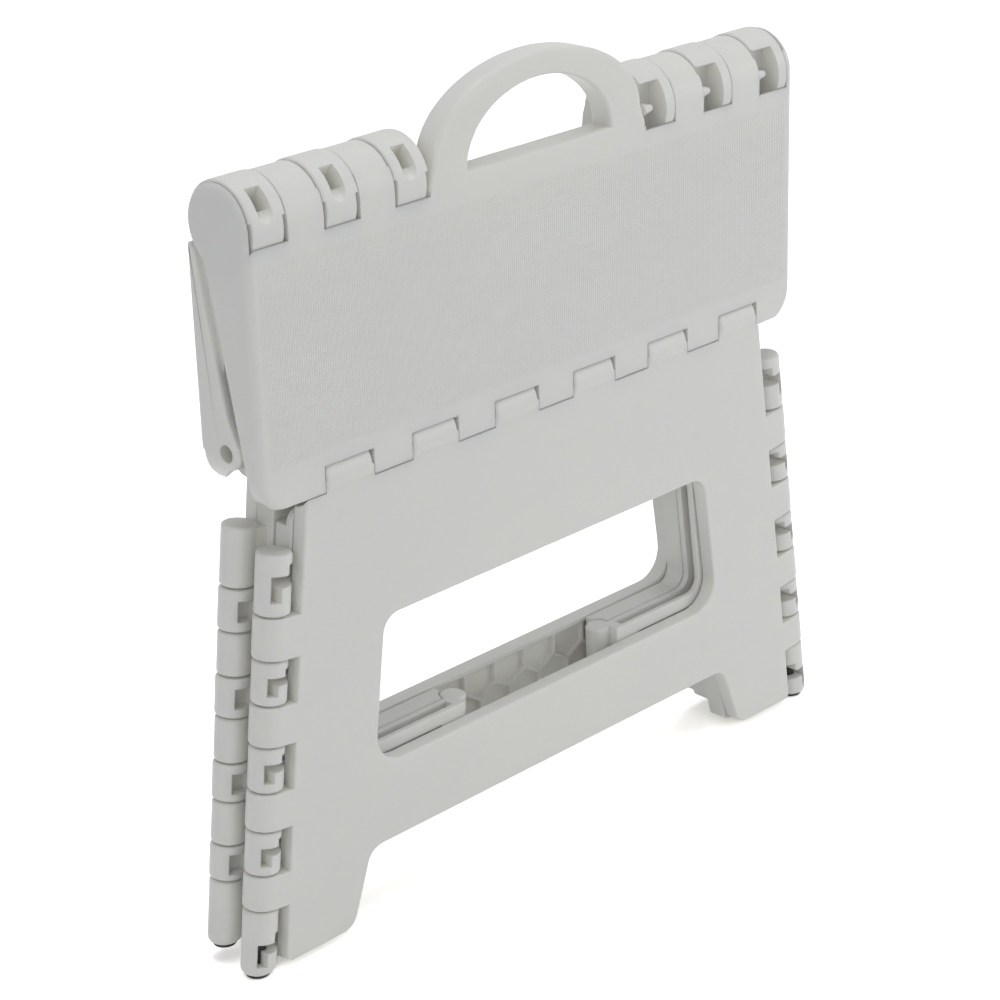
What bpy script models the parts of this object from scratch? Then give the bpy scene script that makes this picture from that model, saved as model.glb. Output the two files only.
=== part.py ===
"""Folding step stool, modelled folded and standing on its feet (metres, +Z up).

X runs along the stool's width, the front faces -Y, and the floor is at Z = 0.
"""
import math

import bmesh
import bpy
from mathutils import Matrix, Vector

# Overall sizes
FOLDED_DEPTH = 0.0325
SEAT_WIDTH = 0.292
HINGE_HEIGHT = 0.1887
SEAT_REACH = 0.098
REAR_RISE = 0.006
FOOT_AXIS_HALF = 0.1574
LEG_TAPER = 0.126
SIDE_TAPER = 0.0963

# Fits
CLEARANCE = 0.0003
SCOOP_CLEARANCE = 0.0005
LEG_SCOOP_CLEARANCE = 0.0009
SIDE_CLEARANCE = 0.0006

# Seat
SKIN = 0.0028
SKIRT = 0.003
SEAT_CORNER = 0.014
RIB = 0.002
RIB_COLUMNS = 8
RIB_ROWS = 3
RIM = 0.006
WEDGE_TOP = 0.0006
WEDGE_FOOT = 0.0012
SKIRT_FOOT = 0.0098
SKIRT_TOE = 0.0060
SKIRT_TOE_RISE = 0.0055
SKIRT_ARC_START = 56.0
SKIRT_GAP = 0.0035
SKIRT_LAP = 0.0020
LOBE_RADIUS = 0.0066
LOBE_RISE = 0.0125
LOBE_HOLE = 0.0034
LOBE_SWEEP = 135.0

# Top hinge
KNUCKLE_START = 0.058
KNUCKLE_PITCH = 0.0170
KNUCKLE_COUNT = 5
PIN_RADIUS = 0.0032
PIN_TIP = 0.0022
PIN_LENGTH = 0.0026
PIN_ROOT = 0.0010
POCKET_BAND = 0.0042
POCKET_DEPTH = 0.0110
POCKET_SILL = 0.0030
POCKET_LINTEL = 0.0095
NOTCH = 0.0036
NOTCH_DEPTH = 0.0205

# Handle
HANDLE_HALF = 0.058
HANDLE_ARCH = 0.0555
HANDLE_RISE = 0.0368
HANDLE_SHOULDER = 0.0045
HANDLE_STEP = 0.0020
HANDLE_DEPTH = 0.0108
GRIP_HALF = 0.0383
GRIP_DROP = 0.0002
GRIP_TOP = 0.0268
HANDLE_CLEARANCE = 0.0008
HANDLE_ROOT = 0.0200
WEB = 0.0040
WEB_RADIUS = 0.0075

# Legs
LEG_THICKNESS = 0.0066
PIVOT_RADIUS = 0.0070
COLUMN_RADIUS = 0.00675
COLUMN_STANDOFF = 0.0085
LEG_FOOT_RISE = 0.003
LEG_PIVOT_SHIFT = 0.0045
LEG_PIVOT_PITCH = 0.0432
LEG_PIVOT_WIDTH = 0.0220
LEG_PIVOT_COUNT = 6
WINDOW_FLOOR = 0.0658
WINDOW_CEILING = 0.1260
WINDOW_FLOOR_HALF = 0.0990
WINDOW_CEILING_HALF = 0.0905
WINDOW_CORNER = 0.0120
ARCH_CEILING = 0.0328
ARCH_FOOT_HALF = 0.1140
ARCH_TOP_HALF = 0.1030
ARCH_CORNER = 0.0080
TOE_CORNER = 0.0075
TOE_EDGE = 0.0025
BRIDGE_LAP = 0.0030
CELL_PITCH = 0.0230
CELL_WALL = 0.0022
CELL_SKIN = 0.0026
CELL_MARGIN = 0.0030

# Corner columns, heights of the joints between side posts and leg knuckles
COLUMN_TOP = 0.1665
COLUMN_JOINTS = (0.1425, 0.1257, 0.1085, 0.0924, 0.0746, 0.0593, 0.0418, 0.0275)
COLUMN_POCKET = 0.0080

# Side panels
SIDE_THICKNESS = 0.0088
SIDE_EDGE = 0.0081
SIDE_TOP_DROP = 0.0082
SIDE_NECK = 0.0030
SIDE_NECK_DROP = 0.0165
SIDE_CENTRE_DROP = 0.0310
SIDE_SHOULDER = 0.0220
SIDE_WINDOW_FLOOR = 0.0740
SIDE_WINDOW_HALF = 0.0960
SIDE_WINDOW_LEAN = 0.0060
SIDE_ARCH_HALF = 0.1050
SIDE_TOE_HALF = 0.1130
SIDE_CORNER = 0.0060
SIDE_BRIDGE = 0.0058
CENTRE_RADIUS = 0.0052
CENTRE_SETBACK = 0.0020
SIDE_POCKET_DEPTH = 0.0055
SIDE_POCKET_RIM = 0.0055
SIDE_POCKET_END = 0.0120

# Rubber feet
POST_RISE = 0.0019
FOOT_RADIUS = 0.0062
FOOT_HEAD = 0.0016
STEM_RADIUS = 0.0030
STEM_TOP = 0.0180

ROLL_SEGMENTS = 28
KNUCKLE_SEGMENTS = 16
PIN_SEGMENTS = 8
ARC_STEPS = 4
CORNER_STEPS = 6
ARCH_STEPS = 14

HALF = FOLDED_DEPTH / 2
ROLL_HEIGHT = HINGE_HEIGHT + SEAT_REACH
REAR_HINGE = HINGE_HEIGHT + REAR_RISE
SIDE_REACH = SEAT_REACH - REAR_RISE / 2
SEAT_HALF = SEAT_WIDTH / 2
PIVOT_Y = -HALF + PIVOT_RADIUS
TILT = math.atan(LEG_TAPER)
AXIS_UP = Vector((math.sin(TILT), 0.0, math.cos(TILT)))
AXIS_IN = Vector((math.cos(TILT), 0.0, -math.sin(TILT)))
FAR = 0.5

PLASTIC = (0.60, 0.60, 0.585, 1.0)
RUBBER = (0.015, 0.015, 0.015, 1.0)
PLASTIC_ROUGHNESS = 0.45
RUBBER_ROUGHNESS = 0.8


# Shape helpers

def mesh_object(name, verts, faces):
    """A closed mesh object whose faces point outward."""
    mesh = bpy.data.meshes.new(name)
    mesh.from_pydata([tuple(v) for v in verts], [], faces)
    work = bmesh.new()
    work.from_mesh(mesh)
    bmesh.ops.recalc_face_normals(work, faces=work.faces)
    work.to_mesh(mesh)
    work.free()
    obj = bpy.data.objects.new(name, mesh)
    bpy.context.scene.collection.objects.link(obj)
    return obj


def loft(rings, name="solid"):
    """A closed solid through rings of equal count, capped at both ends."""
    count = len(rings[0])
    verts = [p for ring in rings for p in ring]
    faces = [list(range(count))[::-1]]
    for level in range(len(rings) - 1):
        base = level * count
        for i in range(count):
            j = (i + 1) % count
            faces.append([base + i, base + j, base + count + j, base + count + i])
    last = (len(rings) - 1) * count
    faces.append(list(range(last, last + count)))
    return mesh_object(name, verts, faces)


def prism(outline, axis, low, high):
    """An outline extruded along X (y, z pairs) or along Y (x, z pairs)."""
    if axis == "X":
        return loft([[(t, a, b) for a, b in outline] for t in (low, high)])
    return loft([[(a, t, b) for a, b in outline] for t in (low, high)])


def box(low, high):
    """An axis-aligned block between two corners."""
    outline = [(low[0], low[2]), (high[0], low[2]), (high[0], high[2]), (low[0], high[2])]
    return prism(outline, "Y", low[1], high[1])


def rod(start, end, radius, segments, end_radius=None):
    """A cylinder or cone between two points."""
    start = Vector(start)
    end = Vector(end)
    along = (end - start).normalized()
    side = Vector((0.0, 1.0, 0.0))
    other = along.cross(side)
    rings = []
    for centre, size in ((start, radius), (end, end_radius or radius)):
        ring = []
        for i in range(segments):
            turn = 2 * math.pi * i / segments
            ring.append(centre + size * (math.cos(turn) * side + math.sin(turn) * other))
        rings.append(ring)
    return loft(rings)


def level_rod(foot, radius, low, high, segments):
    """A rod along a corner axis whose two ends are level with the floor."""
    rings = []
    for height in (low, high):
        ring = []
        for i in range(segments):
            turn = 2 * math.pi * i / segments
            edge = foot + radius * (math.cos(turn) * Vector((0, 1, 0)) + math.sin(turn) * AXIS_IN)
            ring.append(edge + AXIS_UP * ((height - edge.z) / AXIS_UP.z))
        rings.append(ring)
    return loft(rings)


def rounded(corners):
    """An outline from (a, b, radius) corners, with each corner turned into an arc."""
    outline = []
    count = len(corners)
    for i, (a, b, radius) in enumerate(corners):
        here = Vector((a, b))
        back = Vector(corners[i - 1][:2]) - here
        ahead = Vector(corners[(i + 1) % count][:2]) - here
        if radius <= 0:
            outline.append((a, b))
            continue
        back.normalize()
        ahead.normalize()
        half_angle = back.angle(ahead) / 2
        run = radius / math.tan(half_angle)
        middle = here + (back + ahead).normalized() * (radius / math.sin(half_angle))
        first = here + back * run - middle
        last = here + ahead * run - middle
        sweep = first.angle_signed(last)
        for k in range(ARC_STEPS + 1):
            spoke = first.copy()
            spoke.rotate(Matrix.Rotation(-sweep * k / ARC_STEPS, 2))
            point = middle + spoke
            outline.append((point.x, point.y))
    return outline


def arch(half, low, high):
    """Points of a half-ellipse from (half, low) over (0, high) to (-half, low)."""
    points = []
    for k in range(ARCH_STEPS + 1):
        turn = math.pi * k / ARCH_STEPS
        points.append((half * math.cos(turn), low + (high - low) * math.sin(turn)))
    return points


def joined(objects):
    """One object holding the meshes of several, which are removed."""
    work = bmesh.new()
    for obj in objects:
        work.from_mesh(obj.data)
    mesh = bpy.data.meshes.new("joined")
    work.to_mesh(mesh)
    work.free()
    for obj in objects:
        bpy.data.objects.remove(obj)
    result = bpy.data.objects.new("joined", mesh)
    bpy.context.scene.collection.objects.link(result)
    return result


def boolean(body, tools, operation):
    """Apply a union or difference of tools to a body and drop the tools."""
    tool = joined(tools)
    modifier = body.modifiers.new("boolean", "BOOLEAN")
    modifier.operation = operation
    modifier.solver = "EXACT"
    modifier.use_self = True
    modifier.object = tool
    graph = bpy.context.evaluated_depsgraph_get()
    mesh = bpy.data.meshes.new_from_object(body.evaluated_get(graph))
    body.modifiers.clear()
    body.data = mesh
    bpy.data.objects.remove(tool)
    return body


def add(body, tools):
    return boolean(body, tools, "UNION")


def cut(body, tools):
    return boolean(body, tools, "DIFFERENCE")


def material(name, colour, roughness):
    """A plain Principled material."""
    mat = bpy.data.materials.new(name)
    mat.use_nodes = True
    shader = mat.node_tree.nodes["Principled BSDF"]
    shader.inputs["Base Color"].default_value = colour
    shader.inputs["Roughness"].default_value = roughness
    shader.inputs["Metallic"].default_value = 0.0
    return mat


def finish(obj, name, origin, flip_x, flip_y, mat, lift=0.0):
    """Name a piece, mirror it into its quarter, lift it and put its origin on its axis."""
    flip = Matrix.Diagonal((-1 if flip_x else 1, -1 if flip_y else 1, 1, 1))
    place = Matrix.Translation((0, 0, lift)) @ flip
    obj.data.transform(place)
    if flip_x != flip_y:
        obj.data.flip_normals()
    origin = place @ Vector(origin)
    obj.data.transform(Matrix.Translation(-origin))
    obj.location = origin
    obj.name = name
    obj.data.name = name
    obj.data.materials.clear()
    obj.data.materials.append(mat)
    return obj


# Layout shared by the pieces

def roll_spans():
    """X spans along one side of the top hinge, starting beside the handle."""
    edges = [KNUCKLE_START + KNUCKLE_PITCH * i for i in range(KNUCKLE_COUNT)]
    edges.append(SEAT_HALF - SKIRT)
    return list(zip(edges[:-1], edges[1:]))


def both_sides(spans):
    return [s for a, b in spans for s in ((a, b), (-b, -a))]


def rear_spans():
    """Spans of the rear half's top knuckles, which sit in the front half's slots."""
    return both_sides(roll_spans()[0::2])


def front_spans():
    return both_sides(roll_spans()[1::2])


def leg_pivot_spans():
    """X spans of the leg's knuckles in the seat's lower edge."""
    start = LEG_PIVOT_SHIFT - LEG_PIVOT_PITCH * (LEG_PIVOT_COUNT - 1) / 2
    half = LEG_PIVOT_WIDTH / 2
    return [(start + LEG_PIVOT_PITCH * i - half, start + LEG_PIVOT_PITCH * i + half)
            for i in range(LEG_PIVOT_COUNT)]


def seat_pivot_spans():
    """X spans of the seat's knuckles between and beside the leg's."""
    edges = [-SEAT_HALF]
    for a, b in leg_pivot_spans():
        edges += [a, b]
    edges.append(SEAT_HALF)
    return list(zip(edges[0::2], edges[1::2]))


def corner_x(height):
    """X of the left corner axis at a height."""
    return -FOOT_AXIS_HALF + LEG_TAPER * height


def corner_point(height):
    return Vector((corner_x(height), PIVOT_Y, height))


def centre_x(height):
    """X of the left side's middle hinge axis at a height, folded."""
    return corner_x(height) + SIDE_REACH + SIDE_TAPER * (HINGE_HEIGHT - height)


def post_spans():
    """Height spans of the side panel's posts on a corner axis, top down."""
    edges = [COLUMN_TOP] + list(COLUMN_JOINTS)
    return list(zip(edges[1::2] + [None], edges[0::2]))


def knuckle_spans():
    """Height spans of the leg's knuckles on a corner axis, top down."""
    return list(zip(COLUMN_JOINTS[1::2], COLUMN_JOINTS[0::2]))


def roll_rod(span, radius, gap=0.0):
    a, b = span
    return rod((a + gap, 0, ROLL_HEIGHT), (b - gap, 0, ROLL_HEIGHT), radius, ROLL_SEGMENTS)


def pivot_rod(span, radius, gap=0.0, hinge=HINGE_HEIGHT):
    a, b = span
    return rod((a + gap, PIVOT_Y, hinge), (b - gap, PIVOT_Y, hinge), radius, KNUCKLE_SEGMENTS)


def pin(base, along, grow, length=PIN_LENGTH):
    """A conical stub from a base point, enlarged all round for its socket."""
    along = Vector(along).normalized()
    start = Vector(base) - along * PIN_ROOT
    end = Vector(base) + along * (length + grow)
    return rod(start, end, PIN_RADIUS + grow, PIN_SEGMENTS, PIN_TIP + grow)


def tilted_block(low, high, near, far, front, back):
    """A block on the left corner axis, from near to far of the axis, square to it."""
    outline = []
    for height, out in ((low, near), (low, far), (high, far), (high, near)):
        point = corner_point(height) + AXIS_IN * out
        outline.append((point.x, point.z))
    return prism(outline, "Y", front, back)


def column_rod(low, high, radius):
    return rod(corner_point(low), corner_point(high), radius, KNUCKLE_SEGMENTS)


# Seat halves, both drawn as the front half

def seat_profile(hinge):
    """Cross-section of a seat half between its skirts, down to its leg hinge."""
    return [
        (-HALF, hinge),
        (-HALF, ROLL_HEIGHT),
        (-WEDGE_TOP, ROLL_HEIGHT),
        (-WEDGE_TOP, ROLL_HEIGHT - HALF),
        (PIVOT_Y + WEDGE_FOOT, hinge + WEDGE_FOOT),
        (PIVOT_Y, hinge),
    ]


def seat_pockets(hinge):
    """Blocks that hollow the seat half from below, leaving skin and ribs."""
    low = hinge + PIVOT_RADIUS + LEG_SCOOP_CLEARANCE + RIB
    high = ROLL_HEIGHT - HALF - SCOOP_CLEARANCE - RIM
    width = (SEAT_WIDTH - 2 * SKIRT - RIB) / RIB_COLUMNS
    height = (high - low + RIB) / RIB_ROWS
    blocks = []
    for column in range(RIB_COLUMNS):
        left = -SEAT_HALF + SKIRT + RIB + column * width
        for row in range(RIB_ROWS):
            floor = low + row * height
            blocks.append(box((left, -HALF + SKIN, floor),
                              (left + width - RIB, FAR, floor + height - RIB)))
    return blocks


def skirt_arc_end():
    """Where the front skirt's straight back edge meets its roll."""
    turn = math.radians(SKIRT_ARC_START)
    return HALF * math.cos(turn), ROLL_HEIGHT - HALF * math.sin(turn)


def skirt_edge(height):
    """Y of the front skirt's straight back edge at a height."""
    foot = HINGE_HEIGHT + WEDGE_FOOT + SKIRT_TOE_RISE
    reach, top = skirt_arc_end()
    low = -HALF + SKIRT_FOOT
    return low + (reach - low) * (height - foot) / (top - foot)


def front_skirt():
    """Outline of the front half's end plate: a full roll that narrows to the leg hinge."""
    foot = HINGE_HEIGHT + WEDGE_FOOT
    outline = [(-HALF, foot), (-HALF + SKIRT_TOE, foot), (-HALF + SKIRT_FOOT, foot + SKIRT_TOE_RISE)]
    start = -math.radians(SKIRT_ARC_START)
    steps = ROLL_SEGMENTS // 2
    for k in range(steps + 1):
        turn = start + (math.pi - start) * k / steps
        outline.append((HALF * math.cos(turn), ROLL_HEIGHT + HALF * math.sin(turn)))
    return outline


def lobe_centre():
    """Centre of the rear skirt's lower lobe, in the rear half's own place."""
    height = REAR_HINGE + LOBE_RISE
    return skirt_edge(height) + LOBE_RADIUS + SCOOP_CLEARANCE, height


def rear_skirt():
    """Outline of the rear half's end plate, drawn as a front half and mirrored later."""
    top = ROLL_HEIGHT - HALF / 2
    lobe_y, lobe_z = lobe_centre()
    outline = [(-HALF, top), (-HALF, lobe_z), (-HALF + LOBE_RADIUS / 2, lobe_z - LOBE_RADIUS)]
    for k in range(CORNER_STEPS + 1):
        turn = -math.pi / 2 + math.radians(LOBE_SWEEP) * k / CORNER_STEPS
        outline.append((-lobe_y + LOBE_RADIUS * math.cos(turn), lobe_z + LOBE_RADIUS * math.sin(turn)))
    for height in (lobe_z + 2 * LOBE_RADIUS, top):
        outline.append((-skirt_edge(height) - SKIRT_GAP, height))
    return outline


def end_plates(outline, lap):
    return [prism(outline, "X", SEAT_HALF - SKIRT - lap, SEAT_HALF),
            prism(outline, "X", -SEAT_HALF, -SEAT_HALF + SKIRT + lap)]


def corner_trims(hinge):
    """Cutters that round the seat half's two lower corners."""
    foot = hinge - PIVOT_RADIUS
    beyond = SEAT_HALF + SKIRT
    below = foot - SKIRT
    trims = []
    for side in (1, -1):
        outline = [(side * beyond, below), (side * beyond, foot + SEAT_CORNER)]
        for k in range(CORNER_STEPS + 1):
            turn = math.pi / 2 * k / CORNER_STEPS
            x = SEAT_HALF - SEAT_CORNER + SEAT_CORNER * math.cos(turn)
            z = foot + SEAT_CORNER - SEAT_CORNER * math.sin(turn)
            outline.append((side * x, z))
        outline.append((side * (SEAT_HALF - SEAT_CORNER), below))
        trims.append(prism(outline, "Y", -FAR, FAR))
    return trims


def handle_outline(root, grow=0.0):
    """Outline of the handle and its wider root, as (x, rise) pairs from the top axis."""
    foot = HANDLE_HALF + grow
    return arch(HANDLE_ARCH + grow, HANDLE_SHOULDER, HANDLE_RISE + grow) + [
        (-foot, -HANDLE_STEP), (-foot, -root), (foot, -root), (foot, -HANDLE_STEP)]


def handle_solid():
    outline = [(x, ROLL_HEIGHT + z) for x, z in handle_outline(HANDLE_ROOT)]
    return prism(outline, "Y", -HALF, -HALF + HANDLE_DEPTH)


def handle_back():
    """The space behind the handle, between its two webs."""
    reach = HANDLE_HALF - WEB
    return box((-reach, -HALF + HANDLE_DEPTH, ROLL_HEIGHT - HANDLE_ROOT), (reach, FAR, FAR))


def grip_hole():
    outline = [(x, ROLL_HEIGHT + z) for x, z in arch(GRIP_HALF, -GRIP_DROP, GRIP_TOP)]
    return prism(outline, "Y", -FAR, FAR)


def handle_webs(grow=0.0):
    """Short walls beside the handle that carry the inmost pins, enlarged for the room they turn in."""
    spans = both_sides([(HANDLE_HALF - WEB, HANDLE_HALF)])
    return [roll_rod(span, WEB_RADIUS + grow, -grow) for span in spans]


def handle_recess():
    """The cut in the rear half that takes the handle when the seat is open."""
    outline = [(x, ROLL_HEIGHT - z) for x, z in handle_outline(FOLDED_DEPTH, HANDLE_CLEARANCE)]
    return prism(outline, "Y", -FAR, FAR)


def seat_core(own_spans, mate_spans, inner, hinge):
    """The shared body of a seat half: hollow wedge, top roll and leg-side knuckles."""
    scoop = PIVOT_RADIUS + LEG_SCOOP_CLEARANCE
    body = prism(seat_profile(hinge), "X", -inner, inner)
    cut(body, seat_pockets(hinge))
    add(body, [roll_rod(span, HALF, CLEARANCE) for span in own_spans]
        + [pivot_rod(span, PIVOT_RADIUS, hinge=hinge) for span in seat_pivot_spans()])
    cut(body, [roll_rod(span, HALF + SCOOP_CLEARANCE) for span in mate_spans]
        + [pivot_rod(span, scoop, -CLEARANCE, hinge) for span in leg_pivot_spans()])
    return body


def roll_pins(grow):
    """Stubs on the top axis, each across a notch into the rear knuckle behind it."""
    stubs = []
    for a, b in roll_spans()[0::2]:
        for side in (1, -1):
            stubs.append(pin((side * a, 0, ROLL_HEIGHT), (side, 0, 0), grow, NOTCH + PIN_LENGTH))
    return stubs


def leg_pins(grow, hinge=HINGE_HEIGHT):
    """Stubs on the seat-leg axis, one at the left end of each leg knuckle."""
    return [pin((a, PIVOT_Y, hinge), (1, 0, 0), grow) for a, b in leg_pivot_spans()]


def knuckle_pockets():
    """Windows in the rear half's top knuckles, open toward the handle, drawn as a front half."""
    blocks = []
    low = ROLL_HEIGHT - POCKET_SILL
    high = ROLL_HEIGHT + POCKET_LINTEL
    for a, b in roll_spans()[0::2]:
        for side in (1, -1):
            shallow = sorted((side * (a - CLEARANCE), side * (b - POCKET_BAND)))
            deep = sorted((side * (a - CLEARANCE), side * (a + NOTCH)))
            blocks.append(box((shallow[0], HALF - POCKET_DEPTH, low), (shallow[1], FAR, high)))
            blocks.append(box((deep[0], HALF - NOTCH_DEPTH, low - POCKET_SILL), (deep[1], FAR, high)))
    return blocks


def seat_front(mat):
    body = seat_core(front_spans(), rear_spans(), SEAT_HALF - SKIRT / 2, HINGE_HEIGHT)
    add(body, end_plates(front_skirt(), 0.0) + [handle_solid()])
    cut(body, corner_trims(HINGE_HEIGHT) + [grip_hole(), handle_back()])
    add(body, handle_webs())
    add(body, roll_pins(0.0) + leg_pins(0.0))
    return finish(body, "seat_front", (0, PIVOT_Y, HINGE_HEIGHT), False, False, mat)


def seat_rear(mat):
    body = seat_core(rear_spans(), front_spans(), SEAT_HALF - SKIRT - CLEARANCE, REAR_HINGE)
    add(body, end_plates(rear_skirt(), SKIRT_LAP))
    end = SEAT_HALF - SKIRT - CLEARANCE
    ends = [(end, SEAT_HALF + SKIRT), (-SEAT_HALF - SKIRT, -end)]
    lobe_y, lobe_z = lobe_centre()
    hole = rod((-FAR, -lobe_y, lobe_z), (FAR, -lobe_y, lobe_z), LOBE_HOLE, KNUCKLE_SEGMENTS)
    discs = [roll_rod(span, HALF + SCOOP_CLEARANCE) for span in ends]
    cut(body, corner_trims(REAR_HINGE) + [hole] + discs)
    cut(body, [handle_recess()] + handle_webs(HANDLE_CLEARANCE))
    cut(body, knuckle_pockets())
    cut(body, roll_pins(CLEARANCE))
    add(body, leg_pins(0.0, REAR_HINGE))
    return finish(body, "seat_rear", (0, 0, ROLL_HEIGHT), True, True, mat)


# Legs, both drawn as the front leg

def leg_edge(height):
    """X of the leg panel's left edge at a height."""
    return corner_x(height) + COLUMN_STANDOFF


def leg_outline():
    foot = LEG_FOOT_RISE
    left = leg_edge(foot)
    top = leg_edge(HINGE_HEIGHT)
    return rounded([
        (left, foot, TOE_EDGE),
        (-ARCH_FOOT_HALF, foot, TOE_CORNER),
        (-ARCH_TOP_HALF, ARCH_CEILING, ARCH_CORNER),
        (ARCH_TOP_HALF, ARCH_CEILING, ARCH_CORNER),
        (ARCH_FOOT_HALF, foot, TOE_CORNER),
        (-left, foot, TOE_EDGE),
        (-top, HINGE_HEIGHT, 0),
        (top, HINGE_HEIGHT, 0),
    ])


def leg_window():
    outline = rounded([
        (-WINDOW_FLOOR_HALF, WINDOW_FLOOR, WINDOW_CORNER),
        (WINDOW_FLOOR_HALF, WINDOW_FLOOR, WINDOW_CORNER),
        (WINDOW_CEILING_HALF, WINDOW_CEILING, WINDOW_CORNER),
        (-WINDOW_CEILING_HALF, WINDOW_CEILING, WINDOW_CORNER),
    ])
    return prism(outline, "Y", -FAR, FAR)


def cell_fits(x, height, margin):
    """Whether a rib cell lies wholly on the leg panel, clear of its edges."""
    if abs(x) > -leg_edge(height) - margin:
        return False
    if height > HINGE_HEIGHT - PIVOT_RADIUS - margin:
        return False
    share = (height - WINDOW_FLOOR) / (WINDOW_CEILING - WINDOW_FLOOR)
    window = WINDOW_FLOOR_HALF + share * (WINDOW_CEILING_HALF - WINDOW_FLOOR_HALF)
    if abs(x) < window + margin and WINDOW_FLOOR - margin < height < WINDOW_CEILING + margin:
        return False
    if height < ARCH_CEILING + margin:
        return abs(x) > ARCH_FOOT_HALF + margin and height > LEG_FOOT_RISE + margin
    return True


def rib_cells():
    """Six-sided cutters that leave honeycomb ribs on the leg's inner face."""
    radius = (CELL_PITCH - CELL_WALL) / math.sqrt(3)
    row_step = CELL_PITCH * math.sqrt(3) / 2
    cells = []
    for row in range(int(HINGE_HEIGHT / row_step)):
        height = LEG_FOOT_RISE + row_step * (row + 0.5)
        columns = int(FOOT_AXIS_HALF / CELL_PITCH)
        for column in range(-columns, columns + 1):
            x = CELL_PITCH * (column + 0.5 * (row % 2))
            if not cell_fits(x, height, radius + CELL_MARGIN):
                continue
            outline = []
            for k in range(6):
                turn = math.pi / 6 + math.pi / 3 * k
                outline.append((x + radius * math.cos(turn), height + radius * math.sin(turn)))
            cells.append(prism(outline, "Y", -HALF + CELL_SKIN, FAR))
    return cells


def mirrored(objects):
    """The same tools again on the right-hand side."""
    copies = []
    for obj in objects:
        copy = bpy.data.objects.new("mirror", obj.data.copy())
        bpy.context.scene.collection.objects.link(copy)
        copy.data.transform(Matrix.Diagonal((-1, 1, 1, 1)))
        copy.data.flip_normals()
        copies.append(copy)
    return copies


def leg_knuckles():
    """Knuckles on the left corner axis with the bridges that carry them."""
    back = -HALF + LEG_THICKNESS
    tools = []
    for low, high in knuckle_spans():
        low += CLEARANCE
        high -= CLEARANCE
        tools.append(column_rod(low, high, COLUMN_RADIUS))
        tools.append(tilted_block(low, high, 0.0, COLUMN_STANDOFF + BRIDGE_LAP, -HALF, back))
    return tools


def knuckle_cuts():
    """Sockets for the posts' pins, and a pocket in the inner side of each knuckle."""
    tools = []
    half = COLUMN_POCKET / 2
    for low, high in knuckle_spans():
        middle = (low + high) / 2
        tools.append(pin(corner_point(low), AXIS_UP, CLEARANCE))
        tools.append(pin(corner_point(high), -AXIS_UP, CLEARANCE))
        tools.append(tilted_block(middle - half, middle + half, -half, half, PIVOT_Y + PIN_TIP, FAR))
    return tools


def leg(name, mat, turned):
    body = prism(leg_outline(), "Y", -HALF, -HALF + LEG_THICKNESS)
    cut(body, [leg_window()] + rib_cells())
    knuckles = leg_knuckles()
    add(body, [pivot_rod(span, PIVOT_RADIUS, CLEARANCE) for span in leg_pivot_spans()]
        + knuckles + mirrored(knuckles))
    cuts = knuckle_cuts()
    cut(body, [pivot_rod(span, PIVOT_RADIUS + LEG_SCOOP_CLEARANCE) for span in seat_pivot_spans()]
        + leg_pins(CLEARANCE) + cuts + mirrored(cuts))
    origin = (0, PIVOT_Y, HINGE_HEIGHT) if turned else (0, 0, 0)
    return finish(body, name, origin, turned, turned, mat, REAR_RISE if turned else 0.0)


# Side panels, all drawn as the front left one

def side_edge(height):
    """X of the side panel's straight outer edge at a height, folded."""
    return corner_x(height) + SIDE_EDGE / AXIS_UP.z


def side_front():
    """Y of the side panel's inner face, folded."""
    return PIVOT_Y + CLEARANCE / 2


def side_end(height):
    return centre_x(height) - CENTRE_SETBACK


def side_levels():
    """Height spans of the middle hinge on the lower and the upper bar."""
    return ((ARCH_CEILING, SIDE_WINDOW_FLOOR), (WINDOW_CEILING, HINGE_HEIGHT - SIDE_CENTRE_DROP))


def side_outline():
    foot = LEG_FOOT_RISE
    top = HINGE_HEIGHT - SIDE_TOP_DROP
    shoulder = HINGE_HEIGHT - SIDE_CENTRE_DROP
    return rounded([
        (side_edge(foot), foot, 0),
        (-SIDE_TOE_HALF, foot, SIDE_CORNER / 2),
        (-SIDE_ARCH_HALF, ARCH_CEILING, SIDE_CORNER),
        (side_end(ARCH_CEILING), ARCH_CEILING, 0),
        (side_end(SIDE_WINDOW_FLOOR), SIDE_WINDOW_FLOOR, 0),
        (-SIDE_WINDOW_HALF, SIDE_WINDOW_FLOOR, SIDE_CORNER),
        (-SIDE_WINDOW_HALF + SIDE_WINDOW_LEAN, WINDOW_CEILING, SIDE_CORNER),
        (side_end(WINDOW_CEILING), WINDOW_CEILING, 0),
        (side_end(shoulder), shoulder, 0),
        (side_end(shoulder) - SIDE_SHOULDER, shoulder, SIDE_CORNER),
        (side_edge(top), top, SIDE_CORNER),
    ])


def side_pockets():
    """Shallow hollows in the face that lies on the leg, bounded by rims."""
    rim = SIDE_POCKET_RIM
    inner = -SIDE_WINDOW_HALF - rim
    bars = []
    for low, high in side_levels():
        bars.append((low + rim, high - rim, side_end(low) - SIDE_POCKET_END))
    bars.append((SIDE_WINDOW_FLOOR + rim, WINDOW_CEILING - rim, inner))
    tools = []
    for low, high, end in bars:
        outline = [(side_edge(low) + rim, low), (end, low), (end, high), (side_edge(high) + rim, high)]
        tools.append(prism(outline, "Y", -FAR, side_front() + SIDE_POCKET_DEPTH))
    return tools


def side_neck():
    """The space over the panel's shoulder that the seat's skirt needs when open."""
    low = HINGE_HEIGHT - SIDE_NECK_DROP
    return box((-FAR, side_front() + SIDE_NECK, low), (FAR, FAR, FAR))


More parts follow.
